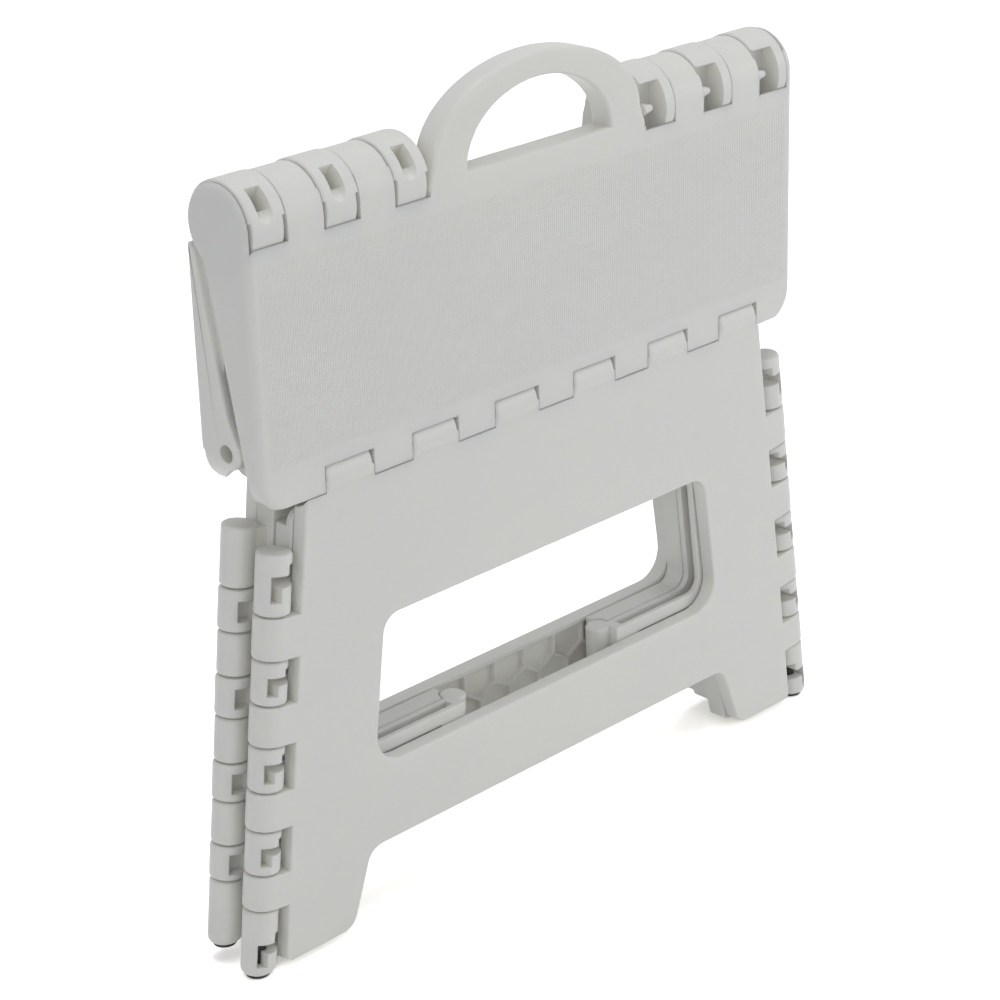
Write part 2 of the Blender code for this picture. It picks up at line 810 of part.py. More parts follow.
def side_posts():
    """Posts on the corner axis with their bridges and pins."""
    front = side_front()
    tools = []
    for low, high in post_spans():
        top = high - CLEARANCE
        foot = -FOOT_RADIUS if low is None else low + CLEARANCE
        bridge_foot = LEG_FOOT_RISE if low is None else foot
        tools.append(column_rod(foot, top, COLUMN_RADIUS))
        tools.append(tilted_block(bridge_foot, top, 0.0, SIDE_EDGE + BRIDGE_LAP, front, front + SIDE_BRIDGE))
        if high != COLUMN_TOP:
            tools.append(pin(corner_point(high), AXIS_UP, 0.0))
        if low is not None:
            tools.append(pin(corner_point(low), -AXIS_UP, 0.0))
    return tools


def post_cuts():
    """Pocket windows in the posts, the level floor end and the bore for the foot."""
    tools = []
    half = COLUMN_POCKET / 2
    for low, high in post_spans():
        middle = ((low or 0.0) + high) / 2
        tools.append(tilted_block(middle - half, middle + half, PIN_ROOT, FAR, -FAR, PIVOT_Y - PIN_ROOT))
    tools.append(box((-FAR, -FAR, -FAR), (FAR, FAR, POST_RISE)))
    return tools


def centre_rod(low, high, radius):
    return rod((centre_x(low), 0, low), (centre_x(high), 0, high), radius, KNUCKLE_SEGMENTS)


def side(name, mat, right, rear):
    front = side_front()
    lift = REAR_RISE if rear else 0.0
    body = prism(side_outline(), "Y", front, front + SIDE_THICKNESS)
    cut(body, side_pockets() + [side_neck()])
    own = []
    mate = []
    for low, high in side_levels():
        middle = (low + high) / 2 - lift
        if rear:
            own.append((low, middle - CLEARANCE))
            mate.append((middle, high + BRIDGE_LAP))
        else:
            own.append((middle + CLEARANCE, high))
            mate.append((low - BRIDGE_LAP, middle))
    cut(body, [centre_rod(a, b, CENTRE_RADIUS + SIDE_CLEARANCE) for a, b in mate])
    add(body, side_posts() + [centre_rod(a, b, CENTRE_RADIUS) for a, b in own])
    bore = level_rod(corner_point(0), STEM_RADIUS + CLEARANCE, -FOOT_RADIUS, STEM_TOP + CLEARANCE, PIN_SEGMENTS)
    cut(body, post_cuts())
    cut(body, [bore])
    return finish(body, name, corner_point(0), right, rear, mat, lift)


def foot(name, mat, right, rear):
    """A rubber plug: a flat head under the post and a stem up its bore."""
    body = level_rod(corner_point(0), FOOT_RADIUS, 0.0, FOOT_HEAD, KNUCKLE_SEGMENTS)
    add(body, [level_rod(corner_point(0), STEM_RADIUS, FOOT_HEAD / 2, STEM_TOP, PIN_SEGMENTS)])
    return finish(body, name, corner_point(0), right, rear, mat, REAR_RISE if rear else 0.0)


# Assembly

for old in list(bpy.data.objects):
    bpy.data.objects.remove(old)

seat_front(material("seat_front_plastic", PLASTIC, PLASTIC_ROUGHNESS))
seat_rear(material("seat_rear_plastic", PLASTIC, PLASTIC_ROUGHNESS))
leg("leg_front", material("leg_front_plastic", PLASTIC, PLASTIC_ROUGHNESS), False)
leg("leg_rear", material("leg_rear_plastic", PLASTIC, PLASTIC_ROUGHNESS), True)
for right in (False, True):
    for rear in (False, True):
        place = ("rear" if rear else "front") + ("_right" if right else "_left")
        plastic = material("side_" + place + "_plastic", PLASTIC, PLASTIC_ROUGHNESS)
        rubber = material("foot_" + place + "_rubber", RUBBER, RUBBER_ROUGHNESS)
        side("side_" + place, plastic, right, rear)
        foot("foot_" + place, rubber, right, rear)
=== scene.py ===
"""Looks of a folding step stool, folded, in off-white moulded plastic with rubber feet."""
import math

import bmesh
import bpy
from mathutils import Matrix, Vector


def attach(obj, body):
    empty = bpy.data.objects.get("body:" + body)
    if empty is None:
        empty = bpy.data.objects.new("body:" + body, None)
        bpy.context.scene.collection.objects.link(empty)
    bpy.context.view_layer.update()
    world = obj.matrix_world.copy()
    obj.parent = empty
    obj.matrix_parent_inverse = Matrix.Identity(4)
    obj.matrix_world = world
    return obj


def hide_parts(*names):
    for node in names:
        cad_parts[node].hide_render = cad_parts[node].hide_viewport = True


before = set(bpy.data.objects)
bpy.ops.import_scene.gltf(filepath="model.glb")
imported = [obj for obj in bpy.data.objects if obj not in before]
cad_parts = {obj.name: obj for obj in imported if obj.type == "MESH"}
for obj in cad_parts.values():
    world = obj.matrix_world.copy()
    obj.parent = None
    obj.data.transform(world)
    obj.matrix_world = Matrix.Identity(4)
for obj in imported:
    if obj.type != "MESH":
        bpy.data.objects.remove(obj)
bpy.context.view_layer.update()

# Overall sizes and clearances, in metres
HALF = 0.01625
SEAT_HALF = 0.146
HINGE = 0.1887
REACH = 0.098
REAR_RISE = 0.006
REAR_HINGE = HINGE + REAR_RISE
ROLL = HINGE + REACH
SIDE_REACH = REACH - REAR_RISE / 2
FOOT_AXIS = 0.1574
LEG_TAPER = 0.126
SIDE_TAPER = 0.0963
GAP = 0.0003
ROLL_GAP = 0.0005
ROLL_SCOOP = 0.0009
LEG_GAP = 0.0009
SIDE_GAP = 0.0006
FAR = 0.5
TANGENT = 0.00002

# Seat halves
SKIN = 0.0028
SKIRT = 0.003
SKIRT_LAP = 0.002
SEAT_ROUND = 0.0032
SKIRT_ROUND = 0.0016
SEAT_CORNER = 0.014
RIB = 0.002
RIB_COLUMNS = 8
RIB_ROWS = 3
RIM = 0.006
WEDGE_TOP = 0.0006
WEDGE_FOOT = 0.0012
SKIRT_FOOT = 0.0098
SKIRT_TOE = 0.0060
SKIRT_TOE_RISE = 0.0055
SKIRT_ARC = math.radians(56.0)
SKIRT_GAP = 0.0035
LOBE_RADIUS = 0.0066
LOBE_RISE = 0.0085
LOBE_HOLE = 0.0034
LOBE_SWEEP = math.radians(135.0)
SLOT_DROP = 0.00406

# Top hinge
KNUCKLE_START = 0.058
KNUCKLE_PITCH = 0.017
KNUCKLE_COUNT = 5
KNUCKLE_SHIFT = 0.0012
KNUCKLE_ROUND = 0.0010
REAR_KNUCKLE_PROUD = 0.0006
PIN_RADIUS = 0.0032
PIN_TIP = 0.0022
PIN_LENGTH = 0.0026
PIN_ROOT = 0.001
PIN_REACH = 0.0045
KNUCKLE_WINDOW = 0.0065
KNUCKLE_WINDOW_EDGE = 0.0046
KNUCKLE_WINDOW_DEPTH = 0.0085
KNUCKLE_WINDOW_LOW = math.radians(27.0)
KNUCKLE_WINDOW_HIGH = math.radians(57.0)
KNUCKLE_SILL_RADIUS = 0.0032
KNUCKLE_SILL_IN = 0.0129
KNUCKLE_SILL_OUT = 0.0240
KNUCKLE_SILL_HIGH = math.radians(48.2)
KNUCKLE_SILL_LOW = math.radians(7.2)
KNUCKLE_WAIST = 0.0021
KNUCKLE_WAIST_TOP = math.radians(14.0)
KNUCKLE_WAIST_FOOT = math.radians(-70.0)
KNUCKLE_WAIST_DEPTH = 0.009
KNUCKLE_DISC = 0.0058
KNUCKLE_LINTEL = 0.0115
KNUCKLE_RECESS = 0.0078
BOSS_PLACE = 0.0030
BOSS_RISE = 0.0015
BOSS_RADIUS = 0.0023
BOSS_TIP = 0.0013
BOSS_LENGTH = 0.0052

# Handle
HANDLE_HALF = 0.058
HANDLE_ARCH = 0.0555
HANDLE_RISE = 0.0368
HANDLE_SHOULDER = 0.0045
HANDLE_STEP = 0.0020
HANDLE_DEPTH = 0.0108
HANDLE_ROUND = 0.0015
HANDLE_ROOT = 0.020
HANDLE_GAP = 0.0008
GRIP_HALF = 0.0383
GRIP_DROP = 0.0002
GRIP_TOP = 0.0268
WEB = 0.004
WEB_RADIUS = 0.0075
RECESS_ROUND = 0.0008

# Legs
LEG_THICKNESS = 0.0066
PIVOT_RADIUS = 0.007
PIVOT_Y = -HALF + PIVOT_RADIUS
PIVOT_ROUND = 0.0014
TONGUE = 0.0046
TONGUE_GAP = 0.0001
PIVOT_PROUD = 0.0011
PIVOT_SLOT = 0.0018
PIVOT_END = 0.0012
COLUMN_RADIUS = 0.00675
COLUMN_ROUND = 0.0013
COLUMN_STANDOFF = 0.0085
LEG_FOOT = 0.003
LEG_PIVOT_SHIFT = 0.0037
LEG_PIVOT_PITCH = 0.0432
LEG_PIVOT_WIDTH = 0.0236
LEG_PIVOT_COUNT = 6
LEG_ROUND = 0.0009
WINDOW_FLOOR = 0.0658
WINDOW_CEILING = 0.126
WINDOW_FLOOR_HALF = 0.099
WINDOW_CEILING_HALF = 0.0905
WINDOW_CORNER = 0.012
WINDOW_TOP_CORNER = 0.008
ARCH_CEILING = 0.0328
ARCH_FOOT_HALF = 0.114
ARCH_TOP_HALF = 0.103
ARCH_CORNER = 0.008
TOE_CORNER = 0.0075
TOE_EDGE = 0.0025
BRIDGE_LAP = 0.003
CELL_PITCH = 0.0172
CELL_WALL = 0.0013
CELL_SKIN = 0.0047
CELL_RIM = 0.0026

# Corner columns
COLUMN_TOP = 0.1665
COLUMN_JOINTS = (0.1425, 0.1257, 0.1085, 0.0924, 0.0746, 0.0593, 0.0418, 0.0275)
COLUMN_POCKET = 0.008
POST_WINDOW_LOW = 0.24
POST_WINDOW_HIGH = 0.66
POST_WINDOW_MOUTH = 0.82
POST_WINDOW_LIP = 0.48
POST_WINDOW_NEAR = -0.0048
POST_WINDOW_BACK = 0.0026
POST_TONGUE = 0.0020
POST_LIP = -0.0012
FOOT_WINDOW_HIGH = 0.0180
POST_FOOT_ROUND = 0.0028
POST_SQUARE = 0.012

# Side panels
SIDE_FRONT = PIVOT_Y + GAP / 2
SIDE_THICKNESS = 0.0088
SIDE_EDGE = 0.0081
SIDE_TOP_DROP = 0.0082
SIDE_NECK = 0.003
SIDE_NECK_DROP = 0.0165
SIDE_CENTRE_DROP = 0.031
SIDE_SHOULDER = 0.022
SIDE_FLOOR_FRONT = 0.0712
SIDE_FLOOR_REAR = 0.0652
SIDE_WINDOW_HALF = 0.096
SIDE_WINDOW_LEAN = 0.006
SIDE_ARCH_HALF = 0.105
SIDE_TOE_HALF = 0.113
SIDE_CORNER = 0.006
SIDE_BRIDGE = 0.0058
SIDE_ROUND = 0.0007
CENTRE_RADIUS = 0.0052
CENTRE_SETBACK = 0.002
CENTRE_ROUND = 0.0012
SIDE_POCKET_DEPTH = 0.0020
SIDE_POCKET_RIM = 0.0055
SIDE_POCKET_END = 0.012
GROOVE_FRONT = 0.0024
GROOVE_BACK = 0.0060
GROOVE_DEPTH = 0.0075
GROOVE_END = 0.0050

# Rubber feet
POST_RISE = 0.0013
FOOT_RADIUS = 0.0046
FOOT_HEAD = 0.0012
FOOT_ROUND = 0.0006
STEM_RADIUS = 0.0024
STEM_TOP = 0.0135

# Fineness of round forms
ROLL_SEGMENTS = 72
KNUCKLE_SEGMENTS = 40
PIN_SEGMENTS = 20
ARC_STEPS = 8
ARCH_STEPS = 40
ROUND_STEPS = 4

# The left corner axis, which leans in towards the top
TILT = math.atan(LEG_TAPER)
AXIS_UP = Vector((math.sin(TILT), 0.0, math.cos(TILT)))
AXIS_IN = Vector((math.cos(TILT), 0.0, -math.sin(TILT)))


# Solids

def linked(name, data):
    """A new object in the scene."""
    obj = bpy.data.objects.new(name, data)
    bpy.context.scene.collection.objects.link(obj)
    return obj


def mesh_object(verts, faces):
    """A closed mesh object whose faces point outward."""
    mesh = bpy.data.meshes.new("solid")
    mesh.from_pydata([tuple(v) for v in verts], [], faces)
    work = bmesh.new()
    work.from_mesh(mesh)
    bmesh.ops.recalc_face_normals(work, faces=work.faces)
    work.to_mesh(mesh)
    work.free()
    return linked("solid", mesh)


def loft(rings):
    """A closed solid through rings of equal count, capped at both ends."""
    count = len(rings[0])
    verts = [p for ring in rings for p in ring]
    faces = [list(range(count))[::-1]]
    for level in range(len(rings) - 1):
        base = level * count
        for i in range(count):
            j = (i + 1) % count
            faces.append([base + i, base + j, base + count + j, base + count + i])
    last = (len(rings) - 1) * count
    faces.append(list(range(last, last + count)))
    return mesh_object(verts, faces)


def anticlockwise(outline):
    """The outline in the turning sense that the offset counts on."""
    area = 0.0
    for (a, b), (c, d) in zip(outline, outline[1:] + outline[:1]):
        area += a * d - b * c
    return outline if area > 0 else outline[::-1]


def offset(outline, reach):
    """An anticlockwise outline moved outward by reach, or inward if it is negative."""
    moved = []
    count = len(outline)
    for i in range(count):
        here = Vector(outline[i])
        before = (here - Vector(outline[i - 1])).normalized()
        after = (Vector(outline[(i + 1) % count]) - here).normalized()
        out_a = Vector((before.y, -before.x))
        out_b = Vector((after.y, -after.x))
        shift = (out_a + out_b) / (1.0 + out_a.dot(out_b))
        moved.append(tuple(here + shift * reach))
    return moved


def rim(radius):
    """(depth, inset) pairs over a rounded rim, from its face to its wall."""
    if radius <= 0:
        return [(0.0, 0.0)]
    pairs = []
    for k in range(ROUND_STEPS + 1):
        turn = math.pi / 2 * k / ROUND_STEPS
        pairs.append((radius * (1 - math.cos(turn)), radius * (1 - math.sin(turn))))
    return pairs


def extrude(outline, axis, levels):
    """A solid through offsets of an outline at (place, reach) levels along X or Y."""
    outline = anticlockwise(outline)
    rings = []
    for place, reach in levels:
        ring = offset(outline, reach)
        if axis == "X":
            rings.append([(place, a, b) for a, b in ring])
        else:
            rings.append([(a, place, b) for a, b in ring])
    return loft(rings)


def slab(outline, axis, low, high, low_round=0.0, high_round=0.0):
    """An extruded outline with rounded rims."""
    levels = [(low + depth, -inset) for depth, inset in rim(low_round)]
    levels += [(high - depth, -inset) for depth, inset in rim(high_round)[::-1]]
    return extrude(outline, axis, levels)


def opening(outline, low, high, low_flare=0.0, high_flare=0.0):
    """A cutter along Y with flared mouths, which leaves rounded edges."""
    levels = [(-FAR, low_flare)]
    if low_flare > 0:
        levels += [(low + depth, inset) for depth, inset in rim(low_flare)]
    if high_flare > 0:
        levels += [(high - depth, inset) for depth, inset in rim(high_flare)[::-1]]
    levels.append((FAR, high_flare))
    return extrude(outline, "Y", levels)


def box(low, high):
    outline = [(low[0], low[2]), (high[0], low[2]), (high[0], high[2]), (low[0], high[2])]
    return slab(outline, "Y", low[1], high[1])


def rod(start, end, radius, segments=KNUCKLE_SEGMENTS, rounding=0.0, tip=None):
    """A cylinder or cone between two points, with rounded rims."""
    start = Vector(start)
    end = Vector(end)
    length = (end - start).length
    along = (end - start) / length
    side = Vector((0.0, 1.0, 0.0))
    side = (side - along * side.dot(along)).normalized()
    other = along.cross(side)
    tip = radius if tip is None else tip
    levels = [(depth, radius - inset) for depth, inset in rim(rounding)]
    levels += [(length - depth, tip - inset) for depth, inset in rim(rounding)[::-1]]
    rings = []
    for depth, size in levels:
        ring = []
        for i in range(segments):
            turn = 2 * math.pi * i / segments
            spoke = math.cos(turn) * side + math.sin(turn) * other
            ring.append(start + along * depth + spoke * size)
        rings.append(ring)
    return loft(rings)


def level_rod(foot, levels, segments, square=()):
    """A rod up the corner axis through (height, radius) rings, parallel to the floor and then square."""
    rings = []
    for height, radius in (*levels, *square):
        ring = []
        for i in range(segments):
            turn = 2 * math.pi * i / segments
            edge = foot + radius * (math.cos(turn) * Vector((0, 1, 0)) + math.sin(turn) * AXIS_IN)
            start = edge.z if len(rings) < len(levels) else 0.0
            ring.append(edge + AXIS_UP * ((height - start) / AXIS_UP.z))
        rings.append(ring)
    return loft(rings)


def rounded(corners):
    """An outline from (a, b, radius) corners, with each corner turned into an arc."""
    outline = []
    count = len(corners)
    for i, (a, b, radius) in enumerate(corners):
        here = Vector((a, b))
        if radius <= 0:
            outline.append((a, b))
            continue
        back = (Vector(corners[i - 1][:2]) - here).normalized()
        ahead = (Vector(corners[(i + 1) % count][:2]) - here).normalized()
        half_angle = back.angle(ahead) / 2
        run = radius / math.tan(half_angle)
        middle = here + (back + ahead).normalized() * (radius / math.sin(half_angle))
        first = here + back * run - middle
        sweep = first.angle_signed(here + ahead * run - middle)
        for k in range(ARC_STEPS + 1):
            spoke = first.copy()
            spoke.rotate(Matrix.Rotation(-sweep * k / ARC_STEPS, 2))
            outline.append(tuple(middle + spoke))
    return outline


def arch(half, low, high):
    """Points of a half-ellipse from (half, low) over (0, high) to (-half, low)."""
    points = []
    for k in range(ARCH_STEPS + 1):
        turn = math.pi * k / ARCH_STEPS
        points.append((half * math.cos(turn), low + (high - low) * math.sin(turn)))
    return points


def joined(objects):
    """One object holding the meshes of several, which are removed."""
    work = bmesh.new()
    for obj in objects:
        work.from_mesh(obj.data)
    mesh = bpy.data.meshes.new("joined")
    work.to_mesh(mesh)
    work.free()
    for obj in objects:
        bpy.data.objects.remove(obj)
    return linked("joined", mesh)


def boolean(body, tools, operation):
    """Combine a body with tools one by one, which are used up."""
    for tool in tools:
        modifier = body.modifiers.new("boolean", "BOOLEAN")
        modifier.operation = operation
        modifier.solver = "MANIFOLD"
        modifier.object = tool
        graph = bpy.context.evaluated_depsgraph_get()
        mesh = bpy.data.meshes.new_from_object(body.evaluated_get(graph))
        body.modifiers.clear()
        body.data = mesh
        bpy.data.objects.remove(tool)
    return body


def add(body, tools):
    return boolean(body, tools, "UNION")


def cut(body, tools):
    return boolean(body, tools, "DIFFERENCE")


def mirrored(objects):
    """The same tools again on the right-hand side."""
    copies = []
    for obj in objects:
        copy = linked("mirror", obj.data.copy())
        copy.data.transform(Matrix.Diagonal((-1, 1, 1, 1)))
        copy.data.flip_normals()
        copies.append(copy)
    return copies


# Layout shared by the pieces

def roll_spans():
    """X spans along one side of the top hinge, starting beside the handle."""
    edges = [KNUCKLE_START + KNUCKLE_PITCH * i for i in range(KNUCKLE_COUNT)]
    edges.append(SEAT_HALF - SKIRT)
    return list(zip(edges[:-1], edges[1:]))


def both_sides(spans, slide=0.0):
    """Spans on both hands, slid along X together."""
    return [s for a, b in spans for s in ((slide + a, slide + b), (slide - b, slide - a))]


def leg_pivot_spans():
    """X spans of the leg's knuckles in the seat's lower edge."""
    start = LEG_PIVOT_SHIFT - LEG_PIVOT_PITCH * (LEG_PIVOT_COUNT - 1) / 2
    half = LEG_PIVOT_WIDTH / 2
    return [(start + LEG_PIVOT_PITCH * i - half, start + LEG_PIVOT_PITCH * i + half)
            for i in range(LEG_PIVOT_COUNT)]


def seat_pivot_spans(inset=0.0):
    """X spans of the seat's knuckles between and beside the leg's, kept in from the seat's ends."""
    edges = [inset - SEAT_HALF]
    for a, b in leg_pivot_spans():
        edges += [a, b]
    edges.append(SEAT_HALF - inset)
    return list(zip(edges[0::2], edges[1::2]))


def corner_x(height):
    """X of the left corner axis at a height."""
    return -FOOT_AXIS + LEG_TAPER * height


def corner_point(height):
    return Vector((corner_x(height), PIVOT_Y, height))


def centre_x(height):
    """X of the left side's middle hinge at a height, folded."""
    return corner_x(height) + SIDE_REACH + SIDE_TAPER * (HINGE - height)


def post_spans():
    """Height spans of the side panel's posts on a corner axis, top down."""
    edges = [COLUMN_TOP] + list(COLUMN_JOINTS)
    return list(zip(edges[1::2] + [None], edges[0::2]))


def knuckle_spans():
    """Height spans of the leg's knuckles on a corner axis, top down."""
    return list(zip(COLUMN_JOINTS[1::2], COLUMN_JOINTS[0::2]))


def roll_rod(span, radius, gap=0.0, rounding=0.0):
    a, b = span
    return rod((a + gap, 0, ROLL), (b - gap, 0, ROLL), radius, ROLL_SEGMENTS, rounding)


def pivot_rod(span, radius, gap=0.0, hinge=HINGE, rounding=0.0):
    a, b = span
    start = (a + gap, PIVOT_Y, hinge)
    return rod(start, (b - gap, PIVOT_Y, hinge), radius, KNUCKLE_SEGMENTS, rounding)


def pin(base, along, grow, length=PIN_LENGTH):
    """A conical stub from a base point, enlarged all round for its socket."""
    along = Vector(along).normalized()
    start = Vector(base) - along * PIN_ROOT
    end = Vector(base) + along * (length + grow)
    return rod(start, end, PIN_RADIUS + grow, PIN_SEGMENTS, 0.0, PIN_TIP + grow)


def tilted_block(low, high, near, far, front, back):
    """A block on the left corner axis, from near to far of the axis, square to it."""
    outline = []
    for height, out in ((low, near), (low, far), (high, far), (high, near)):
        point = corner_point(height) + AXIS_IN * out
        outline.append((point.x, point.z))
    return slab(outline, "Y", front, back)


def column_rod(low, high, radius, rounding=COLUMN_ROUND):
    return rod(corner_point(low), corner_point(high), radius, KNUCKLE_SEGMENTS, rounding)


# Seat halves, both drawn as the front half

def seat_profile(hinge):
    """Cross-section of a seat half between its skirts, down to its leg hinge."""
    return [
        (-HALF, hinge),
        (-HALF, ROLL),
        (-WEDGE_TOP, ROLL),
        (-WEDGE_TOP, ROLL - HALF),
        (PIVOT_Y + WEDGE_FOOT, hinge + WEDGE_FOOT),
        (PIVOT_Y, hinge),
    ]


def seat_pockets(hinge):
    """Blocks that hollow a seat half from below, leaving skin and ribs."""
    low = hinge + PIVOT_RADIUS + LEG_GAP + RIB
    high = ROLL - HALF - ROLL_GAP - RIM
    width = (2 * SEAT_HALF - 2 * SKIRT - RIB) / RIB_COLUMNS
    height = (high - low + RIB) / RIB_ROWS
    blocks = []
    for column in range(RIB_COLUMNS):
        left = -SEAT_HALF + SKIRT + RIB + column * width
        for row in range(RIB_ROWS):
            floor = low + row * height
            blocks.append(box((left, -HALF + SKIN, floor),
                              (left + width - RIB, FAR, floor + height - RIB)))
    return blocks


def skirt_edge(height):
    """Y of the front skirt's straight back edge at a height."""
    foot = HINGE + WEDGE_FOOT + SKIRT_TOE_RISE
    reach = HALF * math.cos(SKIRT_ARC)
    top = ROLL - HALF * math.sin(SKIRT_ARC)
    low = -HALF + SKIRT_FOOT
    return low + (reach - low) * (height - foot) / (top - foot)


def front_skirt():
    """End outline of the front half: a full roll that narrows to the leg hinge."""
    foot = HINGE - TONGUE
    outline = [(-HALF, foot), (-HALF + SKIRT_TOE, foot),
               (-HALF + SKIRT_FOOT, HINGE + WEDGE_FOOT + SKIRT_TOE_RISE)]
    steps = ROLL_SEGMENTS // 2
    for k in range(steps + 1):
        turn = -SKIRT_ARC + (math.pi + SKIRT_ARC) * k / steps
        outline.append((HALF * math.cos(turn), ROLL + HALF * math.sin(turn)))
    return outline


def lobe_centre():
    """Centre of the rear skirt's lower lobe."""
    height = REAR_HINGE + LOBE_RISE
    return skirt_edge(height) + LOBE_RADIUS + ROLL_GAP, height


def rear_skirt():
    """End outline of the rear half, with a round lobe at its foot."""
    top = ROLL - HALF / 2
    lobe_y, lobe_z = lobe_centre()
    outline = [(-HALF, top), (-HALF, REAR_HINGE - TONGUE), (-HALF + SKIRT_TOE, REAR_HINGE - TONGUE)]
    steps = 3 * ARC_STEPS // 2
    for k in range(steps + 1):
        turn = -math.pi / 2 + LOBE_SWEEP * k / steps
        outline.append((-lobe_y + LOBE_RADIUS * math.cos(turn), lobe_z + LOBE_RADIUS * math.sin(turn)))
    for height in (lobe_z + 2 * LOBE_RADIUS, top):
        outline.append((-skirt_edge(height) - SKIRT_GAP, height))
    return outline


def corner_trims(hinge):
    """Cutters that round a seat half's two lower corners."""
    foot = hinge - PIVOT_RADIUS
    beyond = SEAT_HALF + 2 * SEAT_ROUND
    below = foot - 2 * SEAT_ROUND
    trims = []
    for side in (1, -1):
        outline = [(side * beyond, below), (side * beyond, foot + SEAT_CORNER)]
        for k in range(2 * ARC_STEPS + 1):
            turn = math.pi / 2 * k / (2 * ARC_STEPS)
            x = SEAT_HALF - SEAT_CORNER + SEAT_CORNER * math.cos(turn)
            z = foot + SEAT_CORNER - SEAT_CORNER * math.sin(turn)
            outline.append((side * x, z))
        outline.append((side * (SEAT_HALF - SEAT_CORNER), below))
        trims.append(opening(outline, -HALF, FAR, SEAT_ROUND))
    return trims


def seat_shell(skirt, rounding, wall):
    """The front skin and the two skirts of a seat half, with rounded ends."""
    body = slab(skirt, "X", -SEAT_HALF, SEAT_HALF, rounding, rounding)
    reach = SEAT_HALF - wall
    return cut(body, [box((-reach, -HALF + SKIN, -FAR), (reach, FAR, FAR))])


def seat_core(own_spans, radius, inner, hinge):
    """Hollow wedge, top knuckles and leg-side knuckles of a seat half."""
    body = slab(seat_profile(hinge), "X", -inner, inner)
    cut(body, seat_pockets(hinge))
    rolls = [roll_rod(span, radius, GAP, KNUCKLE_ROUND) for span in own_spans]
    pivots = [pivot_rod(span, PIVOT_RADIUS - TANGENT, 0.0, hinge, PIVOT_ROUND)
              for span in seat_pivot_spans(SEAT_CORNER)]
    return add(body, rolls + pivots)


def seat_cuts(mate_spans, hinge):
    """Room for the other half's top knuckles and for the leg's knuckles."""
    scoop = PIVOT_RADIUS + PIVOT_SLOT
    return ([roll_rod(span, HALF + ROLL_SCOOP, -GAP / 2) for span in mate_spans]
            + [pivot_rod(span, scoop, -GAP, hinge) for span in leg_pivot_spans()])


def roll_pins(grow, slide):
    """Stubs on the top axis, each from a front knuckle into the rear knuckle beside it."""
    stubs = []
    for a, b in roll_spans()[0::2]:
        for side in (1, -1):
            stubs.append(pin((slide + side * a, 0, ROLL), (side, 0, 0), grow, PIN_REACH))
    return stubs


def leg_pins(grow, hinge=HINGE):
    """Stubs on the seat-leg axis, one at the left end of each leg knuckle."""
    return [pin((a, PIVOT_Y, hinge), (1, 0, 0), grow) for a, b in leg_pivot_spans()]


def handle_outline(root, grow=0.0):
    """Outline of the handle and its wider root, as (x, rise) pairs from the top axis."""
    foot = HANDLE_HALF + grow
    return arch(HANDLE_ARCH + grow, HANDLE_SHOULDER, HANDLE_RISE + grow) + [
        (-foot, -HANDLE_STEP), (-foot, -root), (foot, -root), (foot, -HANDLE_STEP)]


def handle(slide):
    """The carry handle with its rounded grip hole."""
    outline = [(slide + x, ROLL + z) for x, z in handle_outline(HANDLE_ROOT)]
    back = -HALF + HANDLE_DEPTH
    body = slab(outline, "Y", -HALF, back, HANDLE_ROUND, HANDLE_ROUND)
    grip = [(slide + x, ROLL + z) for x, z in arch(GRIP_HALF, -GRIP_DROP, GRIP_TOP)]
    return cut(body, [opening(grip, -HALF, back, HANDLE_ROUND, HANDLE_ROUND)])


def handle_webs(slide, grow=0.0):
    """Short walls beside the handle that carry the inmost stubs, enlarged for the room they turn in."""
    spans = both_sides([(HANDLE_HALF - WEB, HANDLE_HALF)], slide)
    return [roll_rod(span, WEB_RADIUS + grow, -grow) for span in spans]


def roll_point(x, radius, turn):
    """A point round the top hinge's axis, turned up from +Y."""
    return (x, radius * math.cos(turn), ROLL + radius * math.sin(turn))


def ring_block(low, high, depth, start, end):
    """A block through the outer rim of the top roll, between two angles up from +Y."""
    corners = ((2 * HALF, low), (2 * HALF, high), (HALF - depth, high), (HALF - depth, low))
    outline = [roll_point(start, reach, turn)[1:] for reach, turn in corners]
    return slab(outline, "X", start, end)


def knuckle_windows():
    """Openings in the rear half's top knuckles: a window on one hand, a deep recess on the other."""
    tools = []
    slide = KNUCKLE_SHIFT
    for a, b in roll_spans()[0::2]:
        edge = slide + b - KNUCKLE_WINDOW_EDGE
        tools.append(ring_block(KNUCKLE_WINDOW_LOW, KNUCKLE_WINDOW_HIGH, KNUCKLE_WINDOW_DEPTH,
                                edge - KNUCKLE_WINDOW, edge))
        middle = edge - KNUCKLE_WINDOW / 2
        tools.append(rod(roll_point(middle, KNUCKLE_SILL_IN, KNUCKLE_SILL_HIGH),
                         roll_point(middle, KNUCKLE_SILL_OUT, KNUCKLE_SILL_LOW), KNUCKLE_SILL_RADIUS))
        for start, end in ((a - GAP, a + KNUCKLE_WAIST), (b - KNUCKLE_WAIST / 2, b + GAP)):
            tools.append(ring_block(KNUCKLE_WAIST_FOOT, KNUCKLE_WAIST_TOP, KNUCKLE_WAIST_DEPTH,
                                    slide + start, slide + end))
        low = (slide - b + KNUCKLE_DISC, KNUCKLE_RECESS, ROLL - HALF)
        tools.append(box(low, (slide + GAP - a, FAR, ROLL + KNUCKLE_LINTEL)))
    return tools


